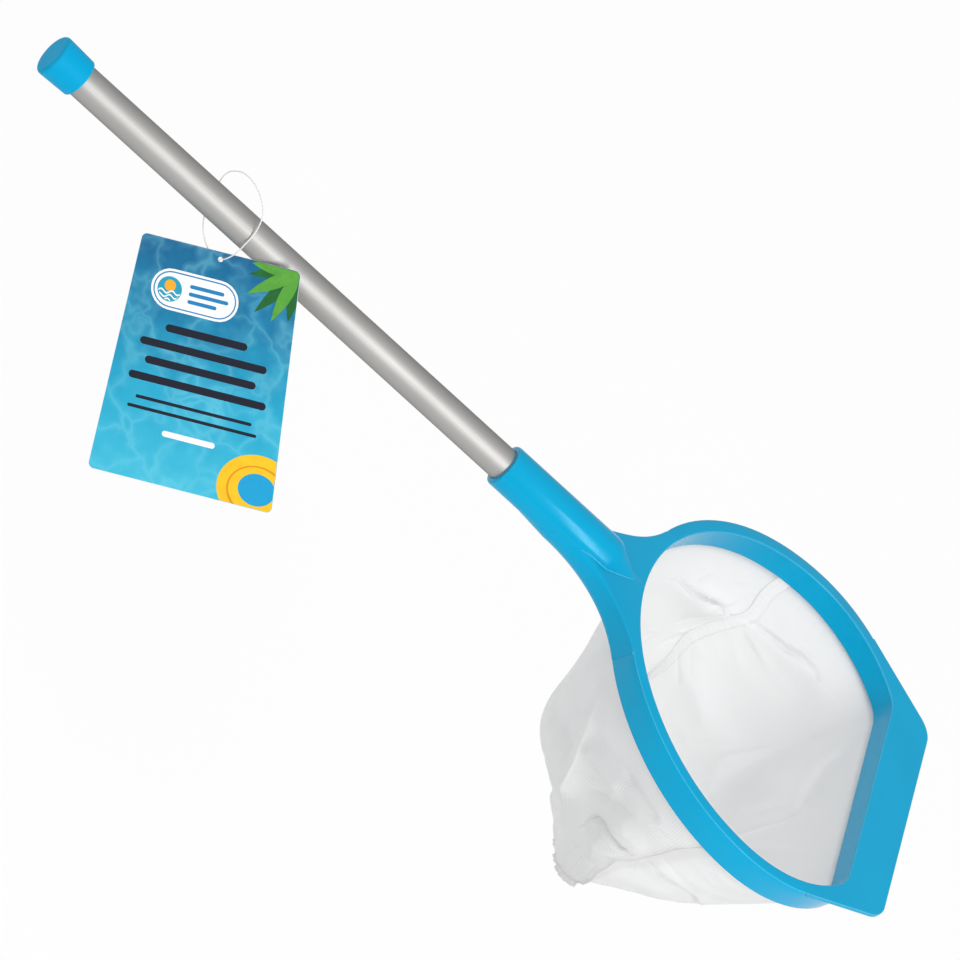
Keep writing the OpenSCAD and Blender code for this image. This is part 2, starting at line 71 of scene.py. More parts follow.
class Nodes:
    """A node tree, with short calls that add nodes and join them."""

    def __init__(self, tree: bpy.types.NodeTree) -> None:
        """Takes the tree that the calls work on."""
        self.tree = tree

    def node(self, kind: str, **settings: object) -> bpy.types.Node:
        """Adds a node.

        Args:
            kind: The node's type.
            **settings: Its properties.

        Returns:
            The new node.
        """
        made = self.tree.nodes.new(kind)
        for key, value in settings.items():
            setattr(made, key, value)
        return made

    def feed(self, made: bpy.types.Node, **inputs: object) -> bpy.types.Node:
        """Sets or links a node's inputs.

        Args:
            made: The node.
            **inputs: A value or a socket for each input, by its name with _ for a space, or by i and its
                number.

        Returns:
            The same node.
        """
        for key, value in inputs.items():
            socket = made.inputs[int(key[1:]) if key[1:].isdigit() else key.replace("_", " ")]
            if isinstance(value, Socket):
                self.tree.links.new(value, socket)
            else:
                socket.default_value = value
        return made

    def math(self, operation: str, a: object, b: object) -> Socket:
        """Adds a Math node on two values."""
        return self.feed(self.node("ShaderNodeMath", operation=operation), i0=a, i1=b).outputs[0]

    def vector(self, operation: str, a: object, b: object) -> bpy.types.Node:
        """Adds a Vector Math node on two vectors."""
        return self.feed(self.node("ShaderNodeVectorMath", operation=operation), i0=a, i1=b)


class Shader(Nodes):
    """A material's node tree, with short calls for the nodes that the finishes use."""

    def __init__(self, name: str, pattern: Pattern = Pattern.OBJECT) -> None:
        """Makes the material with its Principled shader and its coordinates.

        Args:
            name: The material's name.
            pattern: Where its patterns are read from.
        """
        self.material = bpy.data.materials.new(name)
        self.material.use_nodes = True
        super().__init__(self.material.node_tree)
        self.bsdf = self.tree.nodes["Principled BSDF"]
        self.coords = self.node("ShaderNodeTexCoord").outputs[pattern.value]

    def mapped(self, scale: Point, turn: Point = (0, 0, 0)) -> Socket:
        """Coordinates that are scaled and turned."""
        made = self.node("ShaderNodeMapping")
        return self.feed(made, Vector=self.coords, Scale=scale, Rotation=turn).outputs[0]

    def noise(self, scale: float, detail: float, at: Socket | None = None) -> Socket:
        """Adds a noise texture and gives its value."""
        made = self.node("ShaderNodeTexNoise")
        return self.feed(made, Vector=at or self.coords, Scale=scale, Detail=detail).outputs["Fac"]

    def wave(self, pitch: float, turn: float) -> Socket:
        """Adds straight stripes.

        Args:
            pitch: Their pitch, in metres.
            turn: Their turn in the pattern's plane, in degrees.

        Returns:
            A value that goes from 0 to 1 and back over each stripe.
        """
        made = self.node("ShaderNodeTexWave", wave_type="BANDS", bands_direction="X")
        at = self.mapped((1, 1, 1), (0, 0, math.radians(turn)))
        return self.feed(made, Vector=at, Scale=STRIPE / pitch).outputs["Fac"]

    def ramp(self, value: Socket, stops: Sequence[tuple[float, Colour]]) -> Socket:
        """Colours a value by a ramp.

        Args:
            value: The value.
            stops: Each stop's place and colour.

        Returns:
            The colour.
        """
        made = self.node("ShaderNodeValToRGB")
        bar = made.color_ramp.elements
        while len(bar) < len(stops):
            bar.new(0.5)
        for element, (place, colour) in zip(bar, stops):
            element.position = place
            element.color = (*colour, 1)
        return self.feed(made, i0=value).outputs[0]

    def clouded(self, value: Socket, dark: Colour, bright: Colour) -> Socket:
        """Colours a noise's value by two colours, which meet over the middle of its range."""
        return self.ramp(value, [(0.3, dark), (0.7, bright)])

    def spread(self, value: Socket, low: float, high: float) -> Socket:
        """Maps a value from 0..1 to low..high."""
        made = self.node("ShaderNodeMapRange")
        return self.feed(made, Value=value, To_Min=low, To_Max=high).outputs[0]

    def mix(self, share: object, a: Socket | Colour, b: Socket | Colour) -> Socket:
        """Mixes two colours.

        Args:
            share: How much of the second colour there is.
            a: The first colour.
            b: The second colour.

        Returns:
            The mixed colour.
        """
        made = self.node("ShaderNodeMix", data_type="RGBA")
        first, second = (v if isinstance(v, Socket) else (*v, 1) for v in (a, b))
        return self.feed(made, i0=share, i6=first, i7=second).outputs[2]

    def bump(self, height: Socket, distance: float, strength: float, under: Socket | None = None) -> Socket:
        """Adds a bump.

        Args:
            height: The bump's height, from 0 to 1.
            distance: What a height of 1 stands for, in metres.
            strength: How much of the bump shows.
            under: The normal that it lies over, if not the face's own.

        Returns:
            The new normal.
        """
        made = self.feed(self.node("ShaderNodeBump"), Height=height, Distance=distance, Strength=strength)
        if under is not None:
            self.feed(made, Normal=under)
        return made.outputs[0]

    def rounded(self, radius: float) -> Socket:
        """A normal that rounds hard edges by the given radius."""
        return self.feed(self.node("ShaderNodeBevel", samples=6), Radius=radius).outputs[0]

    def principled(self, **inputs: object) -> bpy.types.Material:
        """Sets the Principled shader's inputs and gives the material."""
        self.feed(self.bsdf, **inputs)
        return self.material

    def blend(self, share: object, other: bpy.types.Node) -> bpy.types.Material:
        """Gives another shader a share of the surface.

        Args:
            share: The other shader's share.
            other: The other shader.

        Returns:
            The material.
        """
        both = self.feed(self.node("ShaderNodeMixShader"), i0=share, i1=self.bsdf.outputs[0],
                         i2=other.outputs[0])
        self.feed(self.tree.nodes["Material Output"], Surface=both.outputs[0])
        return self.material


def rgb(red: int, green: int, blue: int) -> Colour:
    """A display colour from 0 to 255 as linear light, by the sRGB curve."""
    parts = [v / 255 for v in (red, green, blue)]
    return tuple(v / 12.92 if v <= 0.04045 else ((v + 0.055) / 1.055) ** 2.4 for v in parts)


def toned(colour: Colour, *by: float) -> Colour:
    """A colour with its three parts scaled by a factor each, or all by one."""
    return tuple(part * factor for part, factor in zip(colour, by * 3))


def grey(level: float) -> Colour:
    """A grey of a level from 0 to 1."""
    return (level, level, level)


@dataclass(frozen=True)
class BluePlastic:
    """Glossy moulded polypropylene: faint flow marks, and a painted highlight, a paler line along its rounded
    upper edges where a lamp's glint would fall.
    """

    name: str = "blue_plastic"
    colour: Colour = rgb(0, 156, 200)
    roughness: float = 0.20
    shine: float = 0.36
    shine_tint: tuple[float, ...] = (0.55, 0.95, 1.0, 1)
    light_index: float = 1.36
    flow_scale: float = 14.0
    gloss_scale: float = 60.0
    grain_scale: float = 900.0
    grain_depth: float = 0.02 * MM
    edge: float = 1.2 * MM
    # The painted highlight: the radius that finds the edges, its gain and share, its colour, and the height
    # above which it is painted.
    line: float = 0.9 * MM
    painted_highlight_gain: float = 6.0
    painted_highlight_share: float = 0.7
    painted_highlight_colour: Colour = rgb(150, 222, 238)
    painted_highlight_above: float = 2.0 * MM

    def material(self) -> bpy.types.Material:
        """Builds the finish.

        Returns:
            The material.
        """
        s = Shader(self.name)
        dull, bright = toned(self.colour, 0.9, 0.95, 0.96), toned(self.colour, 1.1, 1.03, 1.02)
        tint = s.clouded(s.noise(self.flow_scale, 3.0), dull, bright)
        gloss = s.spread(s.noise(self.gloss_scale, 3.0), self.roughness - 0.03, self.roughness + 0.05)
        normal = s.bump(s.noise(self.grain_scale, 2.0), self.grain_depth, 0.12, s.rounded(self.edge))
        # Painted highlight: a paler colour mixed in along rounded edges above a height, in place of the
        # lamp's glint on the upper edges.
        face = s.node("ShaderNodeNewGeometry").outputs["Normal"]
        flatness = s.vector("DOT_PRODUCT", s.rounded(self.line), face).outputs["Value"]
        edge = s.math("MULTIPLY", s.math("SUBTRACT", 1.0, flatness), self.painted_highlight_gain)
        height = s.feed(s.node("ShaderNodeSeparateXYZ"), i0=s.coords).outputs[2]
        upper = s.math("MULTIPLY", s.math("GREATER_THAN", height, self.painted_highlight_above), self.painted_highlight_share)
        tint = s.mix(s.math("MULTIPLY", s.math("MINIMUM", edge, 1.0), upper), tint, self.painted_highlight_colour)
        return s.principled(Base_Color=tint, Roughness=gloss, Normal=normal, IOR=self.light_index,
                            Specular_IOR_Level=self.shine, Specular_Tint=self.shine_tint)


@dataclass(frozen=True)
class SatinAluminium:
    """Drawn and anodised tube: fine streaks along its length."""

    colour: Colour = rgb(180, 179, 177)
    streak_scale: Point = (14.0, 900.0, 900.0)
    streak_depth: float = 0.01 * MM
    cloud_scale: float = 18.0
    roughness: Spot = (0.52, 0.62)
    grazing: Colour = grey(0.30)

    def material(self) -> bpy.types.Material:
        """Builds the finish.

        Returns:
            The material.
        """
        s = Shader("satin_aluminium")
        streak = s.noise(1.0, 4.0, s.mapped(self.streak_scale))
        tint = s.clouded(s.noise(self.cloud_scale, 2.0), toned(self.colour, 0.95), self.colour)
        return s.principled(Base_Color=tint, Metallic=1.0, Roughness=s.spread(streak, *self.roughness),
                            Normal=s.bump(streak, self.streak_depth, 0.5), Specular_Tint=(*self.grazing, 1))


@dataclass(frozen=True)
class ZincSteel:
    """Bright zinc plating with small spangles."""

    dark: Colour = (0.42, 0.43, 0.44)
    bright: Colour = (0.62, 0.62, 0.6)
    spangle_scale: float = 1500.0
    roughness: Spot = (0.25, 0.4)

    def material(self) -> bpy.types.Material:
        """Builds the finish.

        Returns:
            The material.
        """
        s = Shader("zinc_steel")
        spot = s.noise(self.spangle_scale, 2.0)
        tint = s.ramp(spot, [(0.35, self.dark), (0.65, self.bright)])
        return s.principled(Base_Color=tint, Metallic=1.0, Roughness=s.spread(spot, *self.roughness))


@dataclass(frozen=True)
class MeshCloth:
    """Fine white polyester mesh: a twill line over a square weave, with light coming through."""

    name: str = "mesh_cloth"
    colour: Colour = (0.955, 0.953, 0.950)
    through: float = 0.56
    twill_pitch: float = 2.1 * MM
    twill_turn: float = 15.0
    twill_height: float = 0.6
    twill_shows: Spot = (0.12, 0.85)
    twill_least: float = 0.25
    patch_scale: float = 26.0
    patch_range: Spot = (-0.5, 1.7)
    yarn_pitch: float = 0.9 * MM
    yarn_height: float = 0.4
    relief: float = 0.12 * MM
    cloud_scale: float = 30.0
    cloud_share: float = 0.12

    def material(self) -> bpy.types.Material:
        """Builds the finish.

        Returns:
            The material.
        """
        s = Shader(self.name, Pattern.UV)
        twill = s.wave(self.twill_pitch, self.twill_turn)
        yarn = s.math("MULTIPLY", s.wave(self.yarn_pitch, 0.0), s.wave(self.yarn_pitch, 90.0))
        height = s.math("ADD", s.math("MULTIPLY", twill, self.twill_height),
                        s.math("MULTIPLY", yarn, self.yarn_height))
        patch = s.spread(s.noise(self.patch_scale, 1.0), *self.patch_range)
        shows = s.math("MULTIPLY", s.math("MAXIMUM", patch, self.twill_least), self.facing(s))
        tint = s.mix(s.math("MULTIPLY", twill, shows), self.colour, toned(self.colour, 0.76, 0.76, 0.765))
        cloud = s.math("MULTIPLY", s.noise(self.cloud_scale, 3.0), self.cloud_share)
        tint = s.mix(cloud, tint, toned(self.colour, 0.92, 0.93, 0.95))
        s.principled(Base_Color=tint, Roughness=0.85, Normal=s.bump(height, self.relief, 0.5),
                     Sheen_Weight=0.15, Sheen_Roughness=0.5)
        thin = s.feed(s.node("ShaderNodeBsdfTranslucent"), Color=(*self.colour, 1))
        return s.blend(self.through, thin)

    def facing(self, s: Shader) -> Socket:
        """Tells the cloth's outside, where the twill shows more, from its inside.

        Args:
            s: The cloth's shader.

        Returns:
            How much the twill shows on the side that is seen.
        """
        place = s.node("ShaderNodeTexCoord").outputs
        spoke = s.vector("SUBTRACT", place["Object"], toned(BAG_MIDDLE, MM)).outputs[0]
        away = s.vector("DOT_PRODUCT", spoke, place["Normal"]).outputs["Value"]
        return s.spread(s.math("GREATER_THAN", away, 0.0), *self.twill_shows)


@dataclass(frozen=True)
class Thread:
    """Twisted polyester thread, its two strands winding along the V direction."""

    name: str = "thread"
    colour: Colour = (0.82, 0.82, 0.8)
    pitch: float = 2.2 * MM
    lay: float = 50.0
    relief: float = 0.08 * MM

    def material(self) -> bpy.types.Material:
        """Builds the finish.

        Returns:
            The material.
        """
        s = Shader(self.name, Pattern.UV)
        strand = s.wave(self.pitch, self.lay)
        tint = s.mix(s.math("MULTIPLY", strand, 0.4), self.colour, toned(self.colour, 0.8))
        return s.principled(Base_Color=tint, Roughness=0.6, Normal=s.bump(strand, self.relief, 0.6),
                            Sheen_Weight=0.2)


@dataclass(frozen=True)
class WaterPrint:
    """Printed water: a blue gradient with a pale net of light, under a gloss film."""

    depths: tuple[tuple[float, Colour], ...] = (
        (0.0, rgb(58, 184, 214)), (0.38, rgb(30, 164, 200)), (0.7, rgb(10, 124, 166)), (1.0, rgb(4, 96, 144)),
    )
    sway_scale: float = 9.0
    sway: float = 0.35
    light: Colour = rgb(130, 220, 238)
    light_lines: tuple[tuple[float, Colour], ...] = ((0.0, grey(0.8)), (0.09, grey(0.3)), (0.24, grey(0)))
    cell_scale: float = 5.5
    bend_scale: float = 7.0
    bend: float = 0.28
    fade_scale: float = 4.0
    brightest: float = 0.62

    def material(self) -> bpy.types.Material:
        """Builds the finish.

        Returns:
            The material.
        """
        s = Shader("water_print", Pattern.UV)
        level = s.feed(s.node("ShaderNodeSeparateXYZ"), i0=s.coords).outputs[1]
        sway = s.math("MULTIPLY", s.math("SUBTRACT", s.noise(self.sway_scale, 2.0), 0.5), self.sway)
        base = s.ramp(s.math("ADD", level, sway), self.depths)
        push = s.feed(s.node("ShaderNodeTexNoise"), Vector=s.coords, Scale=self.bend_scale, Detail=2.0)
        small = s.feed(s.node("ShaderNodeVectorMath", operation="SCALE"), i0=push.outputs["Color"],
                       Scale=self.bend)
        bent = s.vector("ADD", s.coords, small.outputs[0]).outputs[0]
        net = s.feed(s.node("ShaderNodeTexVoronoi", feature="DISTANCE_TO_EDGE"), Vector=bent,
                     Scale=self.cell_scale)
        lines = s.ramp(net.outputs["Distance"], self.light_lines)
        fade = s.math("MULTIPLY", lines, s.spread(s.noise(self.fade_scale, 1.0), 0.0, self.brightest))
        return s.principled(Base_Color=s.mix(fade, base, self.light), Roughness=0.4, Specular_IOR_Level=0.3)


@dataclass(frozen=True)
class Ink:
    """One printed colour, with the grain of the screen it was printed through."""

    name: str
    colour: Colour
    other: Colour | None = None
    grain_scale: float = 160.0

    def material(self) -> bpy.types.Material:
        """Builds the finish.

        Returns:
            The material.
        """
        s = Shader(self.name)
        share = s.spread(s.noise(self.grain_scale, 3.0), 0.0, 1.0)
        tint = s.mix(share, self.colour, self.other or toned(self.colour, 0.93))
        return s.principled(Base_Color=tint, Roughness=0.4, Specular_IOR_Level=0.3)


class Print(Enum):
    """The card's printing inks."""

    WHITE = Ink("ink_white", rgb(250, 250, 250))
    BLUE = Ink("ink_blue", rgb(25, 130, 190))
    TEAL = Ink("ink_teal", rgb(35, 160, 190))
    SUN = Ink("ink_sun", rgb(250, 176, 40))
    DARK = Ink("ink_dark", rgb(14, 22, 40))
    YELLOW = Ink("ink_yellow", rgb(250, 205, 35), rgb(245, 180, 20))
    AMBER = Ink("ink_amber", rgb(222, 150, 20))
    POOL = Ink("ink_pool", rgb(18, 160, 212))
    LEAF_DARK = Ink("ink_leaf_dark", rgb(30, 110, 45), rgb(18, 84, 34))
    LEAF_LIGHT = Ink("ink_leaf_light", rgb(104, 176, 62), rgb(60, 140, 50))


@dataclass(frozen=True)
class Board:
    """White pulp board: the card's back and edges."""

    dark: Colour = (0.74, 0.74, 0.72)
    bright: Colour = (0.82, 0.82, 0.8)
    fibre_scale: float = 700.0
    fibre_depth: float = 0.02 * MM

    def material(self) -> bpy.types.Material:
        """Builds the finish.

        Returns:
            The material.
        """
        s = Shader("card_board")
        fibre = s.noise(self.fibre_scale, 4.0)
        tint = s.clouded(fibre, self.dark, self.bright)
        return s.principled(Base_Color=tint, Roughness=0.6, Normal=s.bump(fibre, self.fibre_depth, 0.3))


# --------------------------------------------------------------------------- meshes


def smoothed(mesh: bpy.types.Mesh, angle: float) -> None:
    """Shades a mesh smooth, with edges sharper than the angle kept hard."""
    mesh.polygons.foreach_set("use_smooth", [True] * len(mesh.polygons))
    mesh.set_sharp_from_angle(angle=math.radians(angle))


def mended(mesh: bpy.types.Mesh, merge: float = 0.0, outward: bool = True) -> None:
    """Closes a mesh's seams and turns its faces outwards.

    Args:
        mesh: The mesh.
        merge: Points nearer than this become one, in metres.
        outward: Whether its faces are turned.
    """
    work = bmesh.new()
    work.from_mesh(mesh)
    if merge:
        bmesh.ops.remove_doubles(work, verts=work.verts, dist=merge)
    if outward:
        bmesh.ops.recalc_face_normals(work, faces=work.faces)
    work.to_mesh(mesh)
    work.free()


def placed(name: str, data: bpy.types.ID) -> bpy.types.Object:
    """Makes an object of some data.

    Args:
        name: The object's name.
        data: Its mesh, camera or lamp.

    Returns:
        The new object, linked to the scene.
    """
    made = bpy.data.objects.new(name, data)
    bpy.context.scene.collection.objects.link(made)
    return made


def piece(name: str, verts: np.ndarray | Sequence, faces: Iterable[Sequence[int]],
          material: bpy.types.Material, uvs: np.ndarray | None = None,
          angle: float = 35.0) -> bpy.types.Object:
    """Makes an object from points and faces, in the object's own frame.

    Args:
        name: The piece's name.
        verts: Points in metres.
        faces: Corner numbers of each face.
        material: Its finish.
        uvs: One UV pair per point, if the finish follows the surface.
        angle: Edges sharper than this stay hard.

    Returns:
        The new object, linked to the scene.
    """
    mesh = bpy.data.meshes.new(name)
    mesh.from_pydata([tuple(map(float, v)) for v in verts], [], [tuple(f) for f in faces])
    mesh.update()
    if uvs is not None:
        layer = mesh.uv_layers.new(name="UVMap")
        order = np.empty(len(mesh.loops), dtype=np.int32)
        mesh.loops.foreach_get("vertex_index", order)
        layer.data.foreach_set("uv", np.asarray(uvs, dtype=np.float32)[order].ravel())
    mesh.materials.append(material)
    smoothed(mesh, angle)
    return placed(name, mesh)


def grid_faces(rows: int, cols: int, wrap: bool = False) -> list[tuple[int, int, int, int]]:
    """Faces of a grid of points that is stored row by row."""
    last = cols if wrap else cols - 1
    return [(i * cols + j, (i + 1) * cols + j, (i + 1) * cols + (j + 1) % cols, i * cols + (j + 1) % cols)
            for i in range(rows - 1) for j in range(last)]


def grid_normals(grid: np.ndarray) -> np.ndarray:
    """Unit normals of a grid of points."""
    out = np.cross(np.gradient(grid, axis=0), np.gradient(grid, axis=1))
    return out / np.maximum(np.linalg.norm(out, axis=2, keepdims=True), 1e-12)


def lengths(grid: np.ndarray, axis: int) -> np.ndarray:
    """Measures along a grid's lines.

    Args:
        grid: The grid of points.
        axis: The grid's direction to go along, 0 or 1.

    Returns:
        The running length at each point.
    """
    steps = np.linalg.norm(np.diff(grid, axis=axis), axis=2)
    zero = np.zeros_like(steps[:1] if axis == 0 else steps[:, :1])
    return np.concatenate([zero, np.cumsum(steps, axis=axis)], axis=axis)


def cloth_uv(grid: np.ndarray, centred: bool = False, shift: float = 0.0) -> np.ndarray:
    """UV pairs that follow a cloth's weave.

    Args:
        grid: The cloth's points, in millimetres.
        centred: Whether U is 0 in the middle of each row.
        shift: Moves U, in millimetres.

    Returns:
        One pair in metres for each point.
    """
    u = lengths(grid, 0) + shift
    if centred:
        u = u - u.mean(axis=0, keepdims=True)
    return np.stack([u, lengths(grid, 1)], axis=2).reshape(-1, 2) * MM


def baked(made: bpy.types.Object) -> bpy.types.Object:
    """Turns an object's modifiers into plain mesh.

    Args:
        made: The object, whose modifiers are then removed.

    Returns:
        The same object.
    """
    graph = bpy.context.evaluated_depsgraph_get()
    graph.update()
    shaped = made.evaluated_get(graph)
    plain = bpy.data.meshes.new_from_object(shaped, preserve_all_data_layers=True, depsgraph=graph)
    made.modifiers.clear()
    made.data = plain
    return made


def thickened(made: bpy.types.Object, thickness: float) -> bpy.types.Object:
    """Gives a sheet its thickness, half of it on each side.

    Args:
        made: The sheet.
        thickness: Its thickness, in metres.

    Returns:
        The same object.
    """
    solid = made.modifiers.new("wall", "SOLIDIFY")
    solid.thickness = thickness
    solid.offset = 0.0
    solid.use_even_offset = False
    return baked(made)


def ring(radius: float, sides: int) -> list[Spot]:
    """Points of a circle round the origin."""
    turns = [2 * math.pi * k / sides for k in range(sides)]
    return [(radius * math.cos(a), radius * math.sin(a)) for a in turns]


def tube_rings(path: np.ndarray, radius: float, sides: int) -> tuple[np.ndarray, np.ndarray]:
    """Rings of a round tube along a path, turned as little as can be from one to the next.

    Args:
        path: Points along the middle.
        radius: The tube's radius.
        sides: Points in each ring.

    Returns:
        The points, and UV pairs in metres.
    """
    way = np.gradient(path, axis=0)
    way /= np.linalg.norm(way, axis=1, keepdims=True)
    # Any direction that the path doesn't start along.
    askew = [0.31, 0.17, 0.93]
    side = np.cross(way[0], askew)
    run = np.concatenate([[0], np.cumsum(np.linalg.norm(np.diff(path, axis=0), axis=1))])
    points, uvs = [], []
    for centre, along, at in zip(path, way, run):
        side = side - np.dot(side, along) * along
        side /= np.linalg.norm(side)
        up = np.cross(along, side)
        for k in range(sides):
            a = 2 * math.pi * k / sides
            points.append(centre + radius * (math.cos(a) * side + math.sin(a) * up))
            uvs.append((k / sides * 2 * math.pi * radius, at))
    return np.array(points), np.array(uvs)


def tube(name: str, path: np.ndarray, radius: float, sides: int,
         material: bpy.types.Material) -> bpy.types.Object:
    """Makes a closed round tube along a path.

    Args:
        name: The piece's name.
        path: Points along the middle, in metres.
        radius: The tube's radius, in metres.
        sides: Points in each ring.
        material: Its finish.

    Returns:
        The new object.
    """
    points, uvs = tube_rings(path, radius, sides)
    last = (len(path) - 1) * sides
    faces: list[Sequence[int]] = [tuple(reversed(f)) for f in grid_faces(len(path), sides, wrap=True)]
    faces.append(tuple(range(sides)))
    faces.append(tuple(reversed([last + k for k in range(sides)])))
    made = piece(name, points, faces, material, uvs, 60)
    mended(made.data)
    return made


def spline(points: Sequence[Point] | np.ndarray, between: int) -> np.ndarray:
    """A smooth line through points.

    Args:
        points: The points.
        between: How many steps there are from each point to the next.

    Returns:
        The line's points.
    """
    p = np.asarray(points, dtype=float)
    padded = np.vstack([p[0], p, p[-1]])
    out = []
    for i in range(1, len(padded) - 2):
        a, b, c, d = padded[i - 1:i + 3]
        for t in np.arange(between) / between:
            out.append(0.5 * (2 * b + (c - a) * t + (2 * a - 5 * b + 4 * c - d) * t * t
                              + (3 * b - a - 3 * c + d) * t ** 3))
    out.append(p[-1])
    return np.array(out)


def joined(name: str, parts: Sequence[bpy.types.Object]) -> bpy.types.Object:
    """Joins pieces into one object.

    Args:
        name: The object's name.
        parts: The pieces.

    Returns:
        The object.
    """
    with bpy.context.temp_override(active_object=parts[0], selected_editable_objects=list(parts)):
        bpy.ops.object.join()
    parts[0].name = name
    return parts[0]


def turned(angles: Point) -> Matrix:
    """The turn about X, then Y, then Z, by angles in degrees."""
    x, y, z = (math.radians(v) for v in angles)
    return Matrix.Rotation(z, 3, "Z") @ Matrix.Rotation(y, 3, "Y") @ Matrix.Rotation(x, 3, "X")


# --------------------------------------------------------------------------- stitches


class StitchTree(Nodes):
    """A Geometry Nodes tree that lays stitches along a line."""

    inputs: tuple[tuple[str, str, float], ...] = (
        ("Pitch", "NodeSocketFloat", 3.0 * MM), ("Stitch Length", "NodeSocketFloat", 2.1 * MM),
        ("Thread Radius", "NodeSocketFloat", 0.2 * MM), ("Seed", "NodeSocketInt", 7),
    )
    sizes: Spot = (0.88, 1.08)

    def __init__(self, material: bpy.types.Material) -> None:
        """Builds the tree.

        Args:
            material: The thread's finish.
        """
        super().__init__(bpy.data.node_groups.new("stitch_row", "GeometryNodeTree"))
        face = self.tree.interface
        face.new_socket("Geometry", in_out="INPUT", socket_type="NodeSocketGeometry")
        self.keys: dict[str, str] = {}
        for label, kind, value in self.inputs:
            made = face.new_socket(label, in_out="INPUT", socket_type=kind)
            made.default_value = value
            self.keys[label] = made.identifier
        face.new_socket("Geometry", in_out="OUTPUT", socket_type="NodeSocketGeometry")
        start, end = self.node("NodeGroupInput").outputs, self.node("NodeGroupOutput")
        line = self.feed(self.node("GeometryNodeMeshToCurve"), Mesh=start["Geometry"])
        spaced = self.feed(self.node("GeometryNodeResampleCurve", mode="LENGTH"), Curve=line.outputs[0],
                           Length=start["Pitch"])
        stitch = self.feed(self.node("GeometryNodeMeshUVSphere"), Segments=6, Rings=5, Radius=1.0)
        thick = start["Thread Radius"]
        size = self.feed(self.node("ShaderNodeCombineXYZ"), i0=thick, i1=thick,
                         i2=self.math("MULTIPLY", start["Stitch Length"], 0.5))
        shaped = self.feed(self.node("GeometryNodeTransform"), Geometry=stitch.outputs["Mesh"],
                           Scale=size.outputs[0])
        turn = self.feed(self.node("FunctionNodeAlignRotationToVector", axis="Z"),
                         Vector=self.node("GeometryNodeInputTangent").outputs[0])
        some = self.feed(self.node("FunctionNodeRandomValue", data_type="FLOAT"), Seed=start["Seed"])
        for socket, value in zip((s for s in some.inputs if s.type == "VALUE"), self.sizes):
            socket.default_value = value
        drawn = next(s for s in some.outputs if s.type == "VALUE")
        laid = self.feed(self.node("GeometryNodeInstanceOnPoints"), Points=spaced.outputs[0],
                         Instance=shaped.outputs[0], Rotation=turn.outputs[0], Scale=drawn)
        real = self.feed(self.node("GeometryNodeRealizeInstances"), i0=laid.outputs[0])
        dressed = self.feed(self.node("GeometryNodeSetMaterial"), Geometry=real.outputs[0], Material=material)
        self.feed(end, i0=dressed.outputs[0])

    def row(self, name: str, lines: Sequence[np.ndarray], **sizes: float) -> bpy.types.Object:
        """Lays stitches along lines.

        Args:
            name: The new piece's name.
            lines: Each line's points, in metres.
            **sizes: Sizes that differ from the tree's own, named with _ for a space.

        Returns:
            The stitches as one plain mesh.
        """
        verts, edges = [], []
        for line in lines:
            first = len(verts)
            verts += [tuple(map(float, p)) for p in line]
            edges += [(first + k, first + k + 1) for k in range(len(line) - 1)]
        mesh = bpy.data.meshes.new(name)
        mesh.from_pydata(verts, edges, [])
        made = placed(name, mesh)
        rows = made.modifiers.new("rows", "NODES")
        rows.node_group = self.tree
        for label, value in sizes.items():
            rows[self.keys[label.replace("_", " ")]] = value
        baked(made)
        smoothed(made.data, 60)
        return made


# --------------------------------------------------------------------------- sizes shared with the solids


@dataclass(frozen=True)
class Arc:
    """One arc of the opening's outline: its centre and radius, in millimetres."""

    x: float
    y: float
    radius: float

    def along(self, radius: float, way: Spot) -> "Arc":
        """The arc of another radius that this one runs into where its normal has the given direction."""
        step = self.radius - radius
        return Arc(self.x + step * way[0], self.y + step * way[1], radius)


@dataclass(frozen=True)
class RimOutline:
    """The opening's outline, symmetric about the handle, in millimetres in the object's frame."""

    rear_x: float = 358.0
    rear_radius: float = 156.0
    side_radius: float = 136.0
    shoulder_radius: float = 104.0
    corner_radius: float = 30.0
    side_way: Spot = (-0.6, 0.8)
    corner_way: Spot = (0.8, 0.6)

    @property
    def arcs(self) -> tuple[tuple[float, Arc], ...]:
        """The arcs from the rear forwards.

        Returns:
            Each arc with the angle above which it runs.
        """
        rear = Arc(self.rear_x + self.rear_radius, 0.0, self.rear_radius)
        side = rear.along(self.side_radius, self.side_way)
        shoulder = side.along(self.shoulder_radius, (0.0, 1.0))
        corner = shoulder.along(self.corner_radius, self.corner_way)
        turn = [math.degrees(math.atan2(way[1], way[0])) for way in (self.side_way, self.corner_way)]
        return (turn[0], rear), (90.0, side), (turn[1], shoulder), (-1.0, corner)

    @property
    def front(self) -> Spot:
        """Where the straight front edge lies, and its half length."""
        corner = self.arcs[-1][1]
        return corner.x + corner.radius, corner.y

    def point(self, angle: float, out: float) -> np.ndarray:
        """Finds a point by the direction of its outward normal.

        Args:
            angle: The normal's angle, in degrees from the front.
            out: How far the point is moved outwards.

        Returns:
            The point's X and Y.
        """
        size, t = abs(angle), math.radians(abs(angle))
        arc = next(arc for above, arc in self.arcs if size > above)
        r = arc.radius + out
        return np.array([arc.x + r * math.cos(t), math.copysign(arc.y + r * math.sin(t), angle)])


OUTLINE = RimOutline()


@dataclass(frozen=True)
class Fold:
    """A ridge in a panel, from one place to another, as (across, turn) pairs."""

    start: Spot
    end: Spot
    width: float
    height: float

    def lift(self, a: np.ndarray, t: np.ndarray, sharp: float = 2.0) -> np.ndarray:
        """Height of the ridge over a grid of places.

        Args:
            a: The places across.
            t: The places down.
            sharp: Lower values give the ridge a sharper crest.

        Returns:
            The height at each place.
        """
        dx, dy = self.end[0] - self.start[0], self.end[1] - self.start[1]
        s = np.clip(((a - self.start[0]) * dx + (t - self.start[1]) * dy) / (dx * dx + dy * dy), 0, 1)
        far = np.hypot(a - self.start[0] - s * dx, t - self.start[1] - s * dy)
        return self.height * np.exp(-(far / self.width) ** sharp)


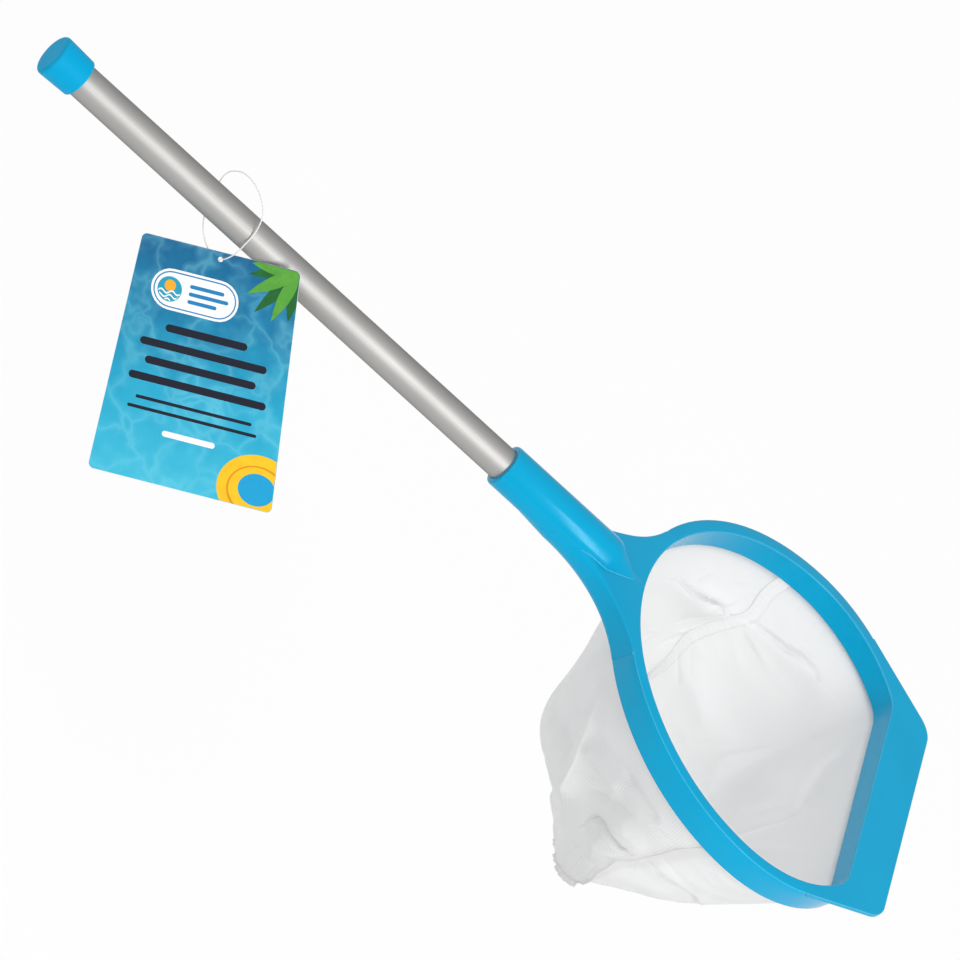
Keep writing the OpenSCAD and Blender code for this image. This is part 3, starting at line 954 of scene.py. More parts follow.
@dataclass(frozen=True)
class Crease:
    """A sharp fold along a line of (across, turn) places: steep on one side, soft on the other.

    A groove can run along the foot of its steep side, where the cloth tucks under.
    """

    line: tuple[Spot, ...]
    height: float
    soft: float = 0.05
    steep: float = 0.012
    groove: float = 0.0
    pinch: float = 0.008
    groove_at: float = 1.6
    fade_in: float = 0.03

    def lift(self, a: np.ndarray, t: np.ndarray) -> np.ndarray:
        """Height of the crease over a grid of places; its left-hand side is the steep one.

        Args:
            a: The places across.
            t: The places down.

        Returns:
            The height at each place.
        """
        best = np.full(np.broadcast(a, t).shape, np.inf)
        left = np.zeros_like(best)
        along = np.zeros_like(best)
        runs = np.hypot(*np.diff(np.array(self.line).T, axis=1))
        total, gone = float(runs.sum()), 0.0
        for (a0, t0), (a1, t1), run in zip(self.line, self.line[1:], runs):
            da, dt = a1 - a0, t1 - t0
            s = np.clip(((a - a0) * da + (t - t0) * dt) / run ** 2, 0, 1)
            far = np.hypot(a - a0 - s * da, t - t0 - s * dt)
            nearer = far < best
            best = np.where(nearer, far, best)
            left = np.where(nearer, da * (t - t0) - dt * (a - a0), left)
            along = np.where(nearer, (gone + s * run) / total, along)
            gone += run
        side = np.where(left > 0, np.exp(-(best / self.steep) ** 2), np.exp(-best / self.soft))
        foot = np.where(left > 0, best, -best) - self.groove_at * self.steep
        cut = self.groove * np.exp(-(foot / self.pinch) ** 2)
        ends = np.sin(np.pi * np.clip(along, self.fade_in, 1 - self.fade_in)) ** 0.5
        return (self.height * side + cut) * ends


@dataclass(frozen=True)
class Scatter:
    """Folds strewn over a panel at random, as (across, turn) places."""

    count: int
    low: Spot
    high: Spot
    drift: float
    reach: Spot
    width: Spot
    height: float
    sharp: float

    def folds(self, rng: np.random.Generator) -> list[Fold]:
        """Draws the folds.

        Args:
            rng: Gives the random numbers.

        Returns:
            The folds.
        """
        folds = []
        for _ in range(self.count):
            start = rng.uniform(self.low, self.high)
            way = rng.normal((0.0, self.drift), self.reach)
            folds.append(Fold(tuple(start), tuple(start + way), rng.uniform(*self.width),
                              rng.normal(0.0, self.height)))
        return folds


BILLOWS = Scatter(14, (-0.9, 0.1), (0.9, 0.9), 0.1, (0.15, 0.15), (0.07, 0.14), 1.1, 2.0)
WRINKLES = Scatter(70, (-0.95, 0.08), (0.95, 0.95), 0.05, (0.09, 0.12), (0.012, 0.04), 0.6, 1.4)


def ease(x: np.ndarray, low: float, high: float) -> np.ndarray:
    """A smooth step from 0 at low to 1 at high."""
    t = np.clip((x - low) / (high - low), 0, 1)
    return t * t * (3 - 2 * t)


@dataclass
class PanelShape:
    """One cloth panel: from its edge at the mouth down to the bottom seam."""

    front: bool
    folds: tuple[Fold, ...]
    # The mouth's edge: where a seam meets it, in degrees, and the front panel's share that is straight.
    seam_angle: float = 98.0
    straight: float = 0.45
    # The bottom seam: how far behind the side seams it lies, its half length, and the rise of its ends.
    seam_back: float = 13.0
    seam_half: float = 118.0
    seam_lift: float = 52.0
    top_z: float = -16.0
    foot_z: float = -193.0
    rim_out: float = 2.55
    seam_gap: float = 0.18
    # Where the profile bends next to the seams, and how much further the bend moves in mid-panel.
    bend_at: float = 0.53
    front_bend: Spot = (0.13, 0.13)
    back_bend: Spot = (0.15, 0.17)
    creases: tuple[Crease, ...] = ()
    softness: float = 0.1
    # Place down the seam, width and height of each bulge or hollow.
    far_sway: tuple[Point, ...] = ((0.25, 0.10, 8.0), (0.58, 0.15, -7.0))
    near_sway: tuple[Point, ...] = ((0.22, 0.14, -8.0), (0.45, 0.13, -8.0), (0.63, 0.10, -11.0),
                                    (0.80, 0.12, -9.0))

    @property
    def bottom_x(self) -> float:
        """Where the bottom seam lies along the handle's direction."""
        return float(OUTLINE.point(self.seam_angle, 0.0)[0]) - self.seam_back

    def top(self, a: float) -> np.ndarray:
        """Finds a point of the mouth's edge.

        Args:
            a: Its place across, from -1 to 1.

        Returns:
            The point's X and Y.
        """
        if self.front:
            x, y = OUTLINE.front
            if abs(a) < self.straight:
                return np.array([x + self.rim_out, y * a / self.straight])
            turn = math.copysign(self.seam_angle * (abs(a) - self.straight) / (1 - self.straight), a)
            return OUTLINE.point(turn, self.rim_out)
        turn = 180 - (180 - self.seam_angle) * a
        return OUTLINE.point(turn - 360 if a < 0 else turn, self.rim_out)

    def seam_z(self, a: np.ndarray) -> np.ndarray:
        """Height of the bottom seam."""
        return self.foot_z + self.seam_lift * np.abs(a) ** 2.2

    def bend(self, a: np.ndarray) -> tuple[np.ndarray, np.ndarray]:
        """Finds where the profile bends.

        Args:
            a: The places across.

        Returns:
            The bend's place as shares of the profile's reach and of its depth.
        """
        inner = 1 - a ** 6
        if self.front:
            s = inner * (0.6 + 0.4 * ease(a, -0.7, 0.2))
            return self.bend_at + self.front_bend[0] * s, self.bend_at + self.front_bend[1] * s
        s = inner * ease(a, -0.62, -0.02) * (1 - 0.45 * ease(a, 0.05, 0.5))
        return self.bend_at + self.back_bend[0] * s, self.bend_at + self.back_bend[1] * s

    def sway(self, a: np.ndarray, t: np.ndarray) -> np.ndarray:
        """How far the cloth beside the side seams is drawn along the handle's direction."""
        far, near = (sum(h * np.exp(-((t - at) / w) ** 2) for at, w, h in sways)
                     for sways in (self.far_sway, self.near_sway))
        return (far * ease(a, 0.55, 1.0) + near * ease(-a, 0.55, 1.0)) * np.sin(np.pi * t) ** 0.5

    def run(self, u: np.ndarray) -> np.ndarray:
        """A straight run that starts softly at the bend."""
        e = self.softness ** 2
        return u + 0.5 + np.sqrt(u * u + e) - math.sqrt(0.25 + e)

    def grid(self, across: Sequence[float], turns: Sequence[float]) -> np.ndarray:
        """Points of the panel's middle surface, in millimetres.

        Args:
            across: Places from the near seam, -1, to the far one, 1.
            turns: Places from the mouth, 0, to the bottom seam, 1.

        Returns:
            A grid of points, one row for each place across.
        """
        a = np.asarray(across, dtype=float)[:, None]
        t = np.asarray(turns, dtype=float)[None, :]
        shift = self.seam_gap * (1 if self.front else -1)
        tops = np.array([self.top(v) for v in a[:, 0]])[:, None, :]
        tops = tops + np.stack([shift * np.abs(a), 0 * a], axis=2)
        foot = np.stack([np.full_like(a, self.bottom_x + shift), self.seam_half * a], axis=2)
        span = tops - foot
        out = span / np.maximum(np.linalg.norm(span, axis=2, keepdims=True), 1.0)
        bend_x, bend_z = self.bend(a)
        early, later = self.run(0.5 - t), self.run(t - 0.5)
        reach = bend_x + (1 - bend_x) * early - bend_x * later
        sink = bend_z - bend_z * early + (1 - bend_z) * later
        lift = sum(fold.lift(a, t) for fold in self.folds) * np.sin(np.pi * t) * (1 - a ** 8)
        cos, sin = np.cos(np.pi / 2 * t), np.sin(np.pi / 2 * t)
        x = foot[..., 0] + span[..., 0] * reach + lift * out[..., 0] * cos + self.sway(a, t)
        y = foot[..., 1] + span[..., 1] * reach + lift * out[..., 1] * cos
        z = self.top_z + (self.seam_z(a) - self.top_z) * sink - lift * sin
        return np.stack([x, y, z], axis=2)


BACK_FOLDS = (
    Fold((-0.26, 0.08), (-0.40, 0.55), 0.05, 3.5),
    Fold((-0.40, 0.55), (-0.41, 0.92), 0.05, 3.5),
    Fold((-0.37, 0.26), (-0.60, 0.215), 0.03, -4.0),
    Fold((-0.60, 0.215), (-0.80, 0.19), 0.035, -4.5),
    Fold((-0.42, 0.33), (-0.58, 0.31), 0.04, 4.0),
    Fold((-0.62, 0.42), (-0.90, 0.38), 0.055, 4.0),
    Fold((-0.66, 0.61), (-0.92, 0.60), 0.045, 3.5),
    Fold((-0.12, 0.40), (-0.30, 0.37), 0.04, -2.4),
    Fold((0.50, 0.13), (0.80, 0.27), 0.06, -5.0),
    Fold((0.80, 0.27), (0.97, 0.36), 0.06, -7.0),
    Fold((0.10, 0.30), (0.35, 0.70), 0.12, -5.0),
    Fold((-0.30, 0.80), (0.20, 0.80), 0.13, -5.0),
)
FRONT_FOLDS = (
    Fold((0.02, 0.46), (0.12, 0.24), 0.07, 5.0),
    Fold((0.12, 0.24), (0.34, 0.08), 0.07, 5.0),
    Fold((0.97, 0.33), (0.76, 0.14), 0.05, -4.0),
    Fold((0.84, 0.62), (0.50, 0.50), 0.09, -5.0),
    Fold((-0.97, 0.55), (-0.78, 0.33), 0.07, -5.0),
    Fold((0.55, 0.25), (0.35, 0.45), 0.10, 3.0),
    Fold((-0.50, 0.55), (-0.30, 0.90), 0.08, 3.0),
)

BACK_CREASES = (
    Crease(((-0.26, 0.07), (-0.29, 0.15), (-0.34, 0.28), (-0.38, 0.42), (-0.40, 0.55), (-0.39, 0.68),
            (-0.38, 0.80)), 1.1, 0.008, 0.006),
    Crease(((-0.50, 0.47), (-0.57, 0.40), (-0.68, 0.34), (-0.76, 0.31)), -2.6, 0.025, 0.016),
    Crease(((-0.59, 0.62), (-0.62, 0.55), (-0.68, 0.52), (-0.80, 0.52), (-0.88, 0.52), (-0.95, 0.49)),
           3.6, 0.07, 0.010, -4.0, 0.010),
    Crease(((0.98, 0.35), (0.88, 0.28), (0.83, 0.25), (0.77, 0.24), (0.68, 0.22), (0.57, 0.17)),
           -8.0, 0.040, 0.008, 4.0, 0.010),
    Crease(((0.68, 0.18), (0.74, 0.10)), -1.6, 0.04, 0.02),
)
FRONT_CREASES = (
    Crease(((-0.98, 0.41), (-0.90, 0.35), (-0.78, 0.37), (-0.66, 0.44)), 3.0, 0.06, 0.012, -3.0, 0.010),
    Crease(((-0.97, 0.18), (-0.93, 0.10), (-0.84, 0.10)), -3.0, 0.05, 0.02),
    Crease(((0.98, 0.32), (0.95, 0.28), (0.91, 0.25), (0.86, 0.22), (0.82, 0.18), (0.77, 0.155)),
           -5.0, 0.05, 0.008, 4.0, 0.010),
    Crease(((0.03, 0.46), (0.09, 0.29), (0.12, 0.21), (0.22, 0.18), (0.32, 0.15), (0.42, 0.06)),
           5.0, 0.06, 0.02),
    Crease(((0.87, 0.68), (0.80, 0.62), (0.66, 0.60)), -1.6, 0.06, 0.04),
    Crease(((0.50, 0.52), (0.54, 0.36)), -1.2, 0.06, 0.04),
)


# --------------------------------------------------------------------------- sub-assemblies


def finished(made: bpy.types.Object, node: str, body: str) -> None:
    """Puts a piece in a CAD node's place.

    Args:
        made: The piece.
        node: The node that it replaces.
        body: The body that it moves with.
    """
    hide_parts(node)
    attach(made, body)
    LOG.info("made %s, %d faces", made.name, len(made.data.polygons))


def paint(node: str, material: bpy.types.Material) -> None:
    """Gives a CAD node its finish.

    Args:
        node: The node's name.
        material: The finish.
    """
    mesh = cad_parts[node].data
    mesh.materials.clear()
    mesh.materials.append(material)
    LOG.info("finished %s with %s", node, material.name)


@dataclass
class NetBag:
    """The sewn mesh bag, in millimetres: two panels, taped side seams, gathered bottom edge and stitching."""

    cloth: bpy.types.Material
    seam_cloth: bpy.types.Material
    stitches: StitchTree
    thickness: float = 0.45
    tape_thickness: float = 0.5
    columns: int = 272
    crowding: float = 0.85
    fine_at: float = -0.34
    fine_reach: float = 0.10
    rows: int = 160
    side_tucks: int = 14
    foot_tucks: int = 34
    tape_covers: float = 0.97
    # How far from the seam a tape's lines run, on the panel it is folded over and on the one it lies on.
    tape_tucked: tuple[float, ...] = (2.4, 1.2)
    tape_lines: tuple[float, ...] = (0.6, 1.7, 3.2, 4.8, 6.4, 7.6, 8.4, 9.5)
    tape_lifts: tuple[float, ...] = (0.34, 0.46, *[0.50] * 7, 0.36)
    # The tape's lines that are stitched, and how much it puckers between stitches.
    tape_stitched: tuple[int, ...] = (3, 8)
    pucker: float = 0.08
    stitch_lift: float = 0.2
    frill_half: float = 0.94
    frill_columns: int = 520
    frill_rows: int = 12
    frill_height: float = 5.4
    frill_top: float = -0.8
    frill_swing: float = 2.9
    # Share, waves, and the size, rate and start of the drift that makes them uneven.
    frill_waves: tuple[tuple[float, ...], ...] = ((0.62, 47, 1.3, 9, 0), (0.38, 101, 2, 5, 1))
    frill_stitched: int = 2
    frill_stitch_out: float = 0.45

    def creased(self, grid: np.ndarray, shape: PanelShape, across: np.ndarray, turns: np.ndarray,
                seed: int) -> np.ndarray:
        """Adds a sewn panel's creases: its own, small scattered ones, and those drawn in at its seams.

        Args:
            grid: Points in millimetres.
            shape: The panel's shape.
            across: The grid's places across.
            turns: The grid's places down.
            seed: Starts the scatter, so that the panels differ.

        Returns:
            The moved points.
        """
        a, t = across[:, None], turns[None, :]
        rng = np.random.default_rng(seed)
        move = sum(crease.lift(a, t) for crease in shape.creases)
        for scatter in (BILLOWS, WRINKLES):
            for fold in scatter.folds(rng):
                move += fold.lift(a, t, scatter.sharp)
        for fold in self.tucks(rng):
            move += fold.lift(a, t, WRINKLES.sharp)
        hold = np.sin(np.pi * t) ** 0.35 * (1 - a ** 20)
        normal = grid_normals(grid)
        normal *= np.sign(np.sum(normal * (grid - np.array(BAG_MIDDLE)), axis=2, keepdims=True))
        return grid + normal * (move * hold)[..., None]

    def tucks(self, rng: np.random.Generator) -> Iterable[Fold]:
        """Draws the small folds that start at the side seams and at the bottom seam.

        Args:
            rng: Gives the random numbers.

        Yields:
            Each fold.
        """
        edge = 0.99
        for side in (-1, 1):
            for place in rng.uniform(0.05, 0.95, self.side_tucks):
                reach = rng.uniform(0.05, 0.16)
                end = (side * (edge - reach), place + rng.normal(0, 0.04))
                yield Fold((side * edge, place), end, 0.018, rng.normal(0.0, 0.8))
        for place in rng.uniform(-0.95, 0.95, self.foot_tucks):
            end = (place + rng.normal(0, 0.03), rng.uniform(0.72, 0.93))
            yield Fold((place, edge), end, 0.013, rng.normal(0.0, 1.0))

    def panel(self, name: str, shape: PanelShape, seed: int) -> tuple[bpy.types.Object, np.ndarray]:
        """Makes one panel's cloth.

        Args:
            name: The piece's name.
            shape: The panel's shape.
            seed: Shifts its creases.

        Returns:
            The piece, and its grid of points in millimetres.
        """
        across = np.linspace(-1, 1, self.columns) * math.pi / 2 * self.crowding
        across = np.sin(across) / math.sin(math.pi / 2 * self.crowding)
        halves = (across[1:] + across[:-1]) / 2
        across = np.sort(np.concatenate([across, halves[np.abs(halves - self.fine_at) < self.fine_reach]]))
        turns = np.linspace(0, 1, self.rows)
        grid = self.creased(shape.grid(across, turns), shape, across, turns, seed)
        if shape.front:
            grid = grid[::-1]
        cloth = self.sheet(name, grid, self.cloth, self.thickness, cloth_uv(grid, centred=True))
        return cloth, grid

    @staticmethod
    def sheet(name: str, grid: np.ndarray, material: bpy.types.Material, thickness: float, uv: np.ndarray,
              angle: float = 60.0) -> bpy.types.Object:
        """Makes cloth of a thickness over a grid of points, both in millimetres."""
        made = piece(name, grid.reshape(-1, 3) * MM, grid_faces(*grid.shape[:2]), material, uv, angle)
        return thickened(made, thickness * MM)

    def build(self) -> None:
        """Makes the bag and logs each panel's size and area."""
        back_shape = PanelShape(False, BACK_FOLDS, creases=BACK_CREASES, softness=0.06)
        front_shape = PanelShape(True, FRONT_FOLDS, creases=FRONT_CREASES)
        back, back_grid = self.panel("back_panel_cloth", back_shape, 11)
        front, front_grid = self.panel("front_panel_cloth", front_shape, 23)
        tapes, tape_rows = self.side_seams(back_grid, front_grid)
        side_thread = self.stitches.row("side_seam_stitches", tape_rows)
        frill, frill_rows = self.gather(front_shape)
        foot_thread = self.stitches.row("bottom_seam_stitches", frill_rows, Pitch=2.6 * MM,
                                        Stitch_Length=1.9 * MM)
        for made, node in ((back, "net_back_panel"), (front, "net_front_panel"), (tapes, "net_side_seams"),
                           (frill, "net_bottom_gather")):
            finished(made, node, "skimmer")
        for made in (side_thread, foot_thread):
            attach(made, "skimmer")
            LOG.info("made %s, %d faces", made.name, len(made.data.polygons))
        for cloth, grid in ((back, back_grid), (front, front_grid)):
            area = self.area(grid)
            wide = float(lengths(grid, 0)[-1, 0])
            deep = float(lengths(grid, 1)[:, -1].max())
            LOG.info("%s: mouth edge %.0f mm, drop %.0f mm, area %.4f m2", cloth.name, wide, deep, area)

    @staticmethod
    def area(grid: np.ndarray) -> float:
        """Measures the area of a grid of points, as two triangles in each cell.

        Args:
            grid: The points, in millimetres.

        Returns:
            The area in square metres.
        """
        a, b = grid[1:, :-1] - grid[:-1, :-1], grid[:-1, 1:] - grid[:-1, :-1]
        c, d = grid[:-1, 1:] - grid[1:, 1:], grid[1:, :-1] - grid[1:, 1:]
        total = np.linalg.norm(np.cross(a, b), axis=2).sum() + np.linalg.norm(np.cross(c, d), axis=2).sum()
        return float(total / 2 * MM * MM)

    @staticmethod
    def beside(grid: np.ndarray, far: bool, distances: Sequence[float]) -> np.ndarray:
        """Finds lines on a panel that run along its side edge.

        Args:
            grid: The panel's points.
            far: Whether they run along its last row, not its first.
            distances: How far in from the edge each line runs.

        Returns:
            The lines as a grid of points.
        """
        # More of the panel's rows than the distances reach.
        searched = 40
        near = (grid[::-1] if far else grid)[:searched]
        run = lengths(near, 0)
        return np.array([[[np.interp(d, run[:, k], near[:, k, axis]) for axis in range(3)]
                          for k in range(near.shape[1])] for d in distances])

    def side_seams(self, back: np.ndarray, front: np.ndarray) -> tuple[bpy.types.Object, list[np.ndarray]]:
        """Makes the felled tapes inside the bag.

        Args:
            back: The back panel's points, from the near seam to the far one.
            front: The front panel's points, from the far seam to the near one.

        Returns:
            Both tapes as one piece, and the lines of the two rows of stitches on each, in metres.
        """
        used = round(self.tape_covers * self.rows)
        lift = np.array(self.tape_lifts)[:, None, None]
        pucker = self.pucker * np.sin(np.arange(used) * 1.45)[None, :, None]
        parts, rows = [], []
        for far in (False, True):
            tape = np.concatenate([self.beside(back[:, :used], far, self.tape_tucked),
                                   self.beside(front[:, :used], not far, self.tape_lines)])
            normal = grid_normals(tape)
            inward = np.sign(np.sum(normal * (np.array(BAG_MIDDLE) - tape), axis=2, keepdims=True))
            tape = tape + normal * inward * (lift + pucker)
            parts.append(self.sheet(f"side_seam_{'far' if far else 'near'}", tape, self.seam_cloth,
                                    self.tape_thickness, cloth_uv(tape, shift=3.0)))
            rows += [(tape[k] + (normal * inward)[k] * self.stitch_lift) * MM for k in self.tape_stitched]
        return joined("side_seam_strips", parts), rows

    def gather(self, shape: PanelShape) -> tuple[bpy.types.Object, list[np.ndarray]]:
        """Makes the frilled edge below the bottom seam.

        Args:
            shape: The shape of a panel that ends at the seam.

        Returns:
            The frill, and the lines of the two rows of stitches on it, in metres.
        """
        a = np.linspace(-self.frill_half, self.frill_half, self.frill_columns)
        step = 0.01
        slope = (shape.seam_z(a + step) - shape.seam_z(a - step)) / (2 * step * shape.seam_half)
        along = np.stack([np.ones(len(a)), slope], axis=1)
        along /= np.linalg.norm(along, axis=1, keepdims=True)
        start = self.frill_top
        height = start + self.frill_height * (1 - 0.7 * ease(a, -0.7, -0.3))
        waves = sum(share * np.sin(rate * a + drift * np.sin(slow * a + first))
                    for share, rate, drift, slow, first in self.frill_waves)
        rows = []
        for drop in np.linspace(0.0, 1.0, self.frill_rows):
            reach = start + drop * (height - start) * (1 - 0.06 * np.sin(33 * a) ** 2)
            swing = self.frill_swing * (1 - 0.6 * a * a) * waves * (0.1 + 0.9 * drop ** 0.8)
            rows.append(np.stack([shape.bottom_x + swing, shape.seam_half * a + along[:, 1] * reach,
                                  shape.seam_z(a) - along[:, 0] * reach], axis=1))
        grid = np.array(rows).transpose(1, 0, 2)
        frill = self.sheet("bottom_gather_cloth", grid, self.seam_cloth, self.tape_thickness,
                           cloth_uv(grid), 70)
        out = np.array([self.frill_stitch_out, 0, 0])
        return frill, [(grid[:, self.frill_stitched] + side * out) * MM for side in (-1, 1)]


@dataclass
class Handle:
    """Tube, cap and screw, in millimetres."""

    aluminium: bpy.types.Material
    plastic: bpy.types.Material
    steel: bpy.types.Material
    screw_x: float = 246.0
    head_radius: float = 3.5
    head_height: float = 2.2
    # How much lower the crown is at the rim, and the share of the radius from which the edge curls in.
    crown: float = 0.28
    curl_from: float = 0.8
    curl: float = 5.5
    seat_z: float = -16.2
    shank_radius: float = 1.75
    shank_top: float = -10.4
    tip_radius: float = 0.4
    tip_z: float = -9.5
    cross_half: float = 0.42
    cross_reach: float = 2.1
    cross_depth: float = 1.3
    rings: int = 22
    sides: int = 48

    def build(self) -> None:
        """Dresses the tube and cap, and makes the screw's head with its cross recess."""
        paint("handle_tube", self.aluminium)
        paint("handle_end_cap", self.plastic)
        finished(self.screw(), "socket_screw", "skimmer")

    def head_z(self, x: float, y: float, r: float) -> float:
        """Finds the height of the screw's head, which looks down.

        Args:
            x: The place from the screw's middle.
            y: The place from the screw's middle.
            r: The place's distance from the middle.

        Returns:
            The height in the object's frame.
        """
        out = r / self.head_radius
        curl = self.curl * max(0.0, out - self.curl_from) ** 1.5
        dome = self.head_height * (1 - self.crown * out ** 2 - curl)
        near, far = sorted((abs(x), abs(y)))
        sunk = max(0.0, 1 - (near / self.cross_half) ** 6) * max(0.0, 1 - (far / self.cross_reach) ** 5)
        return self.seat_z - max(0.0, dome) + self.cross_depth * sunk

    def screw(self) -> bpy.types.Object:
        """Makes a pan-head screw seen from below the socket.

        Returns:
            The screw.
        """
        n = self.sides
        verts = []
        for i in range(self.rings):
            r = self.head_radius * i / (self.rings - 1)
            verts += [(self.screw_x + x, y, self.head_z(x, y, r)) for x, y in ring(r, n)]
        base = len(verts)
        for z, r in ((self.seat_z, self.head_radius), (self.seat_z, self.shank_radius),
                     (self.shank_top, self.shank_radius), (self.tip_z, self.tip_radius)):
            verts += [(self.screw_x + x, y, z) for x, y in ring(r, n)]
        edge = base - n
        faces: list[Sequence[int]] = list(grid_faces(self.rings, n, wrap=True))
        faces += [(edge + k, base + k, base + (k + 1) % n, edge + (k + 1) % n) for k in range(n)]
        faces += [tuple(base + v for v in f) for f in grid_faces(4, n, wrap=True)]
        faces.append(tuple(base + 3 * n + k for k in range(n)))
        made = piece("pan_head_screw", np.array(verts) * MM, faces, self.steel, angle=30)
        mended(made.data, merge=1e-6)
        return made


@dataclass
class Moulding:
    """The moulded frame, and the ring and hem that are held in it."""

    plastic: bpy.types.Material
    cloth: bpy.types.Material

    def build(self) -> None:
        """Makes the frame's smooth skin and dresses what is held in it."""
        finished(self.skin(), "net_frame", "skimmer")
        paint("net_retaining_ring", self.plastic)
        paint("net_mouth_hem", self.cloth)

    def skin(self) -> bpy.types.Object:
        """Makes the frame's own surface, merged so that its curves shade smoothly.

        Returns:
            The frame.
        """
        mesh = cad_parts["net_frame"].data.copy()
        mesh.name = "moulded_frame"
        mended(mesh, merge=2e-6, outward=False)
        if mesh.has_custom_normals:
            mesh.attributes.remove(mesh.attributes["custom_normal"])
        mesh.materials.clear()
        mesh.materials.append(self.plastic)
        smoothed(mesh, 32)
        return placed("moulded_frame", mesh)


Shape = tuple[Print, list[Spot], int]


@dataclass
class HangTag:
    """The printed card, in millimetres in its own plane: X to the right, Y up, origin at the hole."""

    board: bpy.types.Material
    water: bpy.types.Material
    top_width: float = 120.0
    bottom_width: float = 139.0
    height: float = 177.0
    thickness: float = 0.8
    corner: float = 4.0
    hole: float = 1.9
    hole_in: float = 5.4
    at: Point = (-43.9, -10.3, -26.3)
    turn: Point = (75.0, -43.0, -15.0)
    layer: float = 0.03
    print_inset: float = 0.3
    badge_at: Spot = (-14.0, -30.0)
    # Ink, width and height of each frame.
    badge_frames: tuple[tuple[Print, float, float], ...] = (
        (Print.WHITE, 66, 30), (Print.BLUE, 62.5, 26.5), (Print.WHITE, 60.5, 24.5),
    )
    sea_at: Spot = (-33.0, -30.0)
    sea_radius: float = 9.2
    sea_edge: float = 0.4
    sun_up: float = 2.6
    sun_radius: float = 4.2
    wave_count: int = 3
    wave_half: float = 8.2
    wave_down: float = 1.6
    wave_pitch: float = 3.0
    wave_height: float = 1.1
    wave_rate: float = 12.5
    wave_thickness: float = 1.2
    badge_bars_x: float = -18.5
    badge_bar_height: float = 2.8
    # Height on the card and width of each bar.
    badge_bars: tuple[Spot, ...] = ((-24.6, 26), (-30.2, 30), (-35.8, 22))
    # Ink, height on the card, width and thickness of each bar that stands for a line of words.
    bars: tuple[tuple[Print, float, float, float], ...] = (
        (Print.DARK, -58, 62, 5.6), (Print.DARK, -71, 96, 5.6), (Print.DARK, -84, 84, 5.6),
        (Print.DARK, -97, 104, 5.6), (Print.DARK, -112, 88, 2.4), (Print.DARK, -119.5, 98, 2.4),
        (Print.WHITE, -134, 40, 4.2),
    )
    # Ink, middle, radius, number of points and squash of each oval.
    float_ring: tuple[tuple[Print, float, float, float, int, float], ...] = (
        (Print.YELLOW, 56, -158, 30, 72, 0.86), (Print.AMBER, 56, -159, 22.5, 64, 0.84),
        (Print.YELLOW, 55.5, -158.5, 20.5, 64, 0.84), (Print.POOL, 56, -157.5, 14, 56, 0.84),
    )
    leaves_at: Spot = (61.0, 6.0)
    # Length of each leaf, and its direction in degrees.
    leaves: tuple[Spot, ...] = ((40, 196), (44, 214), (46, 232), (42, 250), (36, 268), (34, 180))
    leaf_width: float = 9.5
    leaf_step: Spot = (-0.7, -0.5)

    def frame(self) -> Matrix:
        """Places the card's plane in the object's frame, in metres."""
        return Matrix.Translation(Vector(self.at) * MM) @ turned(self.turn).to_4x4() @ Matrix.Scale(MM, 4)

    def outline(self, inset: float = 0.0) -> list[Spot]:
        """The card's rounded outline.

        Args:
            inset: How far it is set in from the edge.

        Returns:
            Its points, anticlockwise from the upper right corner.
        """
        top, bottom = self.hole_in - inset, self.hole_in - self.height + inset
        steps = 10
        r = self.corner - inset
        out = []
        for sx, y, w, first in ((1, top, self.top_width, 0), (-1, top, self.top_width, 90),
                                (-1, bottom, self.bottom_width, 180), (1, bottom, self.bottom_width, 270)):
            cx = sx * (w / 2 - self.corner)
            cy = y - self.corner + inset if y > 0 else y + self.corner - inset
            turns = [math.radians(first + 90 * k / steps) for k in range(steps + 1)]
            out += [(cx + r * math.cos(a), cy + r * math.sin(a)) for a in turns]
        return out

    @staticmethod
    def flat(outlines: Sequence[Sequence[Spot]], level: float) -> tuple[list[Point], list[Sequence[int]]]:
        """Fills a flat shape with triangles.

        Args:
            outlines: Its outline, and those of its holes.
            level: Its height above the card's middle.

        Returns:
            Its points and its faces.
        """
        loops = [[Vector((x, y, 0)) for x, y in line] for line in outlines]
        flat = [p for loop in loops for p in loop]
        faces = []
        for a, b, c in tessellate_polygon(loops):
            side = (flat[b] - flat[a]).cross(flat[c] - flat[a]).z
            faces.append((a, b, c) if side > 0 else (a, c, b))
        return [(p.x, p.y, level) for p in flat], faces

    @staticmethod
    def circle(x: float, y: float, r: float, n: int = 48, squash: float = 1.0) -> list[Spot]:
        """Points of a circle or of an oval that is squashed upright."""
        return [(x + px, y + py * squash) for px, py in ring(r, n)]

    @staticmethod
    def bar(x: float, y: float, w: float, h: float) -> list[Spot]:
        """Draws a bar with round ends.

        Args:
            x: Its middle.
            y: Its middle.
            w: Its width.
            h: Its height.

        Returns:
            Its outline.
        """
        r, steps = h / 2, 12
        points = []
        for cx, first in ((w / 2 - r, -90), (-w / 2 + r, 90)):
            turns = [math.radians(first + 180 * k / steps) for k in range(steps + 1)]
            points += [(x + cx + r * math.cos(a), y + r * math.sin(a)) for a in turns]
        return points

    def leaf(self, x: float, y: float, length: float, lean: float) -> list[Spot]:
        """Draws a pointed leaf.

        Args:
            x: Where it grows from.
            y: Where it grows from.
            length: Its length.
            lean: Which way it points, in degrees.

        Returns:
            Its outline.
        """
        c, s = math.cos(math.radians(lean)), math.sin(math.radians(lean))
        side = [(length * t, self.leaf_width / 2 * math.sin(math.pi * t ** 0.8) ** 0.9)
                for t in np.linspace(0, 1, 17)]
        points = side + [(px, -py) for px, py in reversed(side[1:-1])]
        return [(x + px * c - py * s, y + px * s + py * c) for px, py in points]

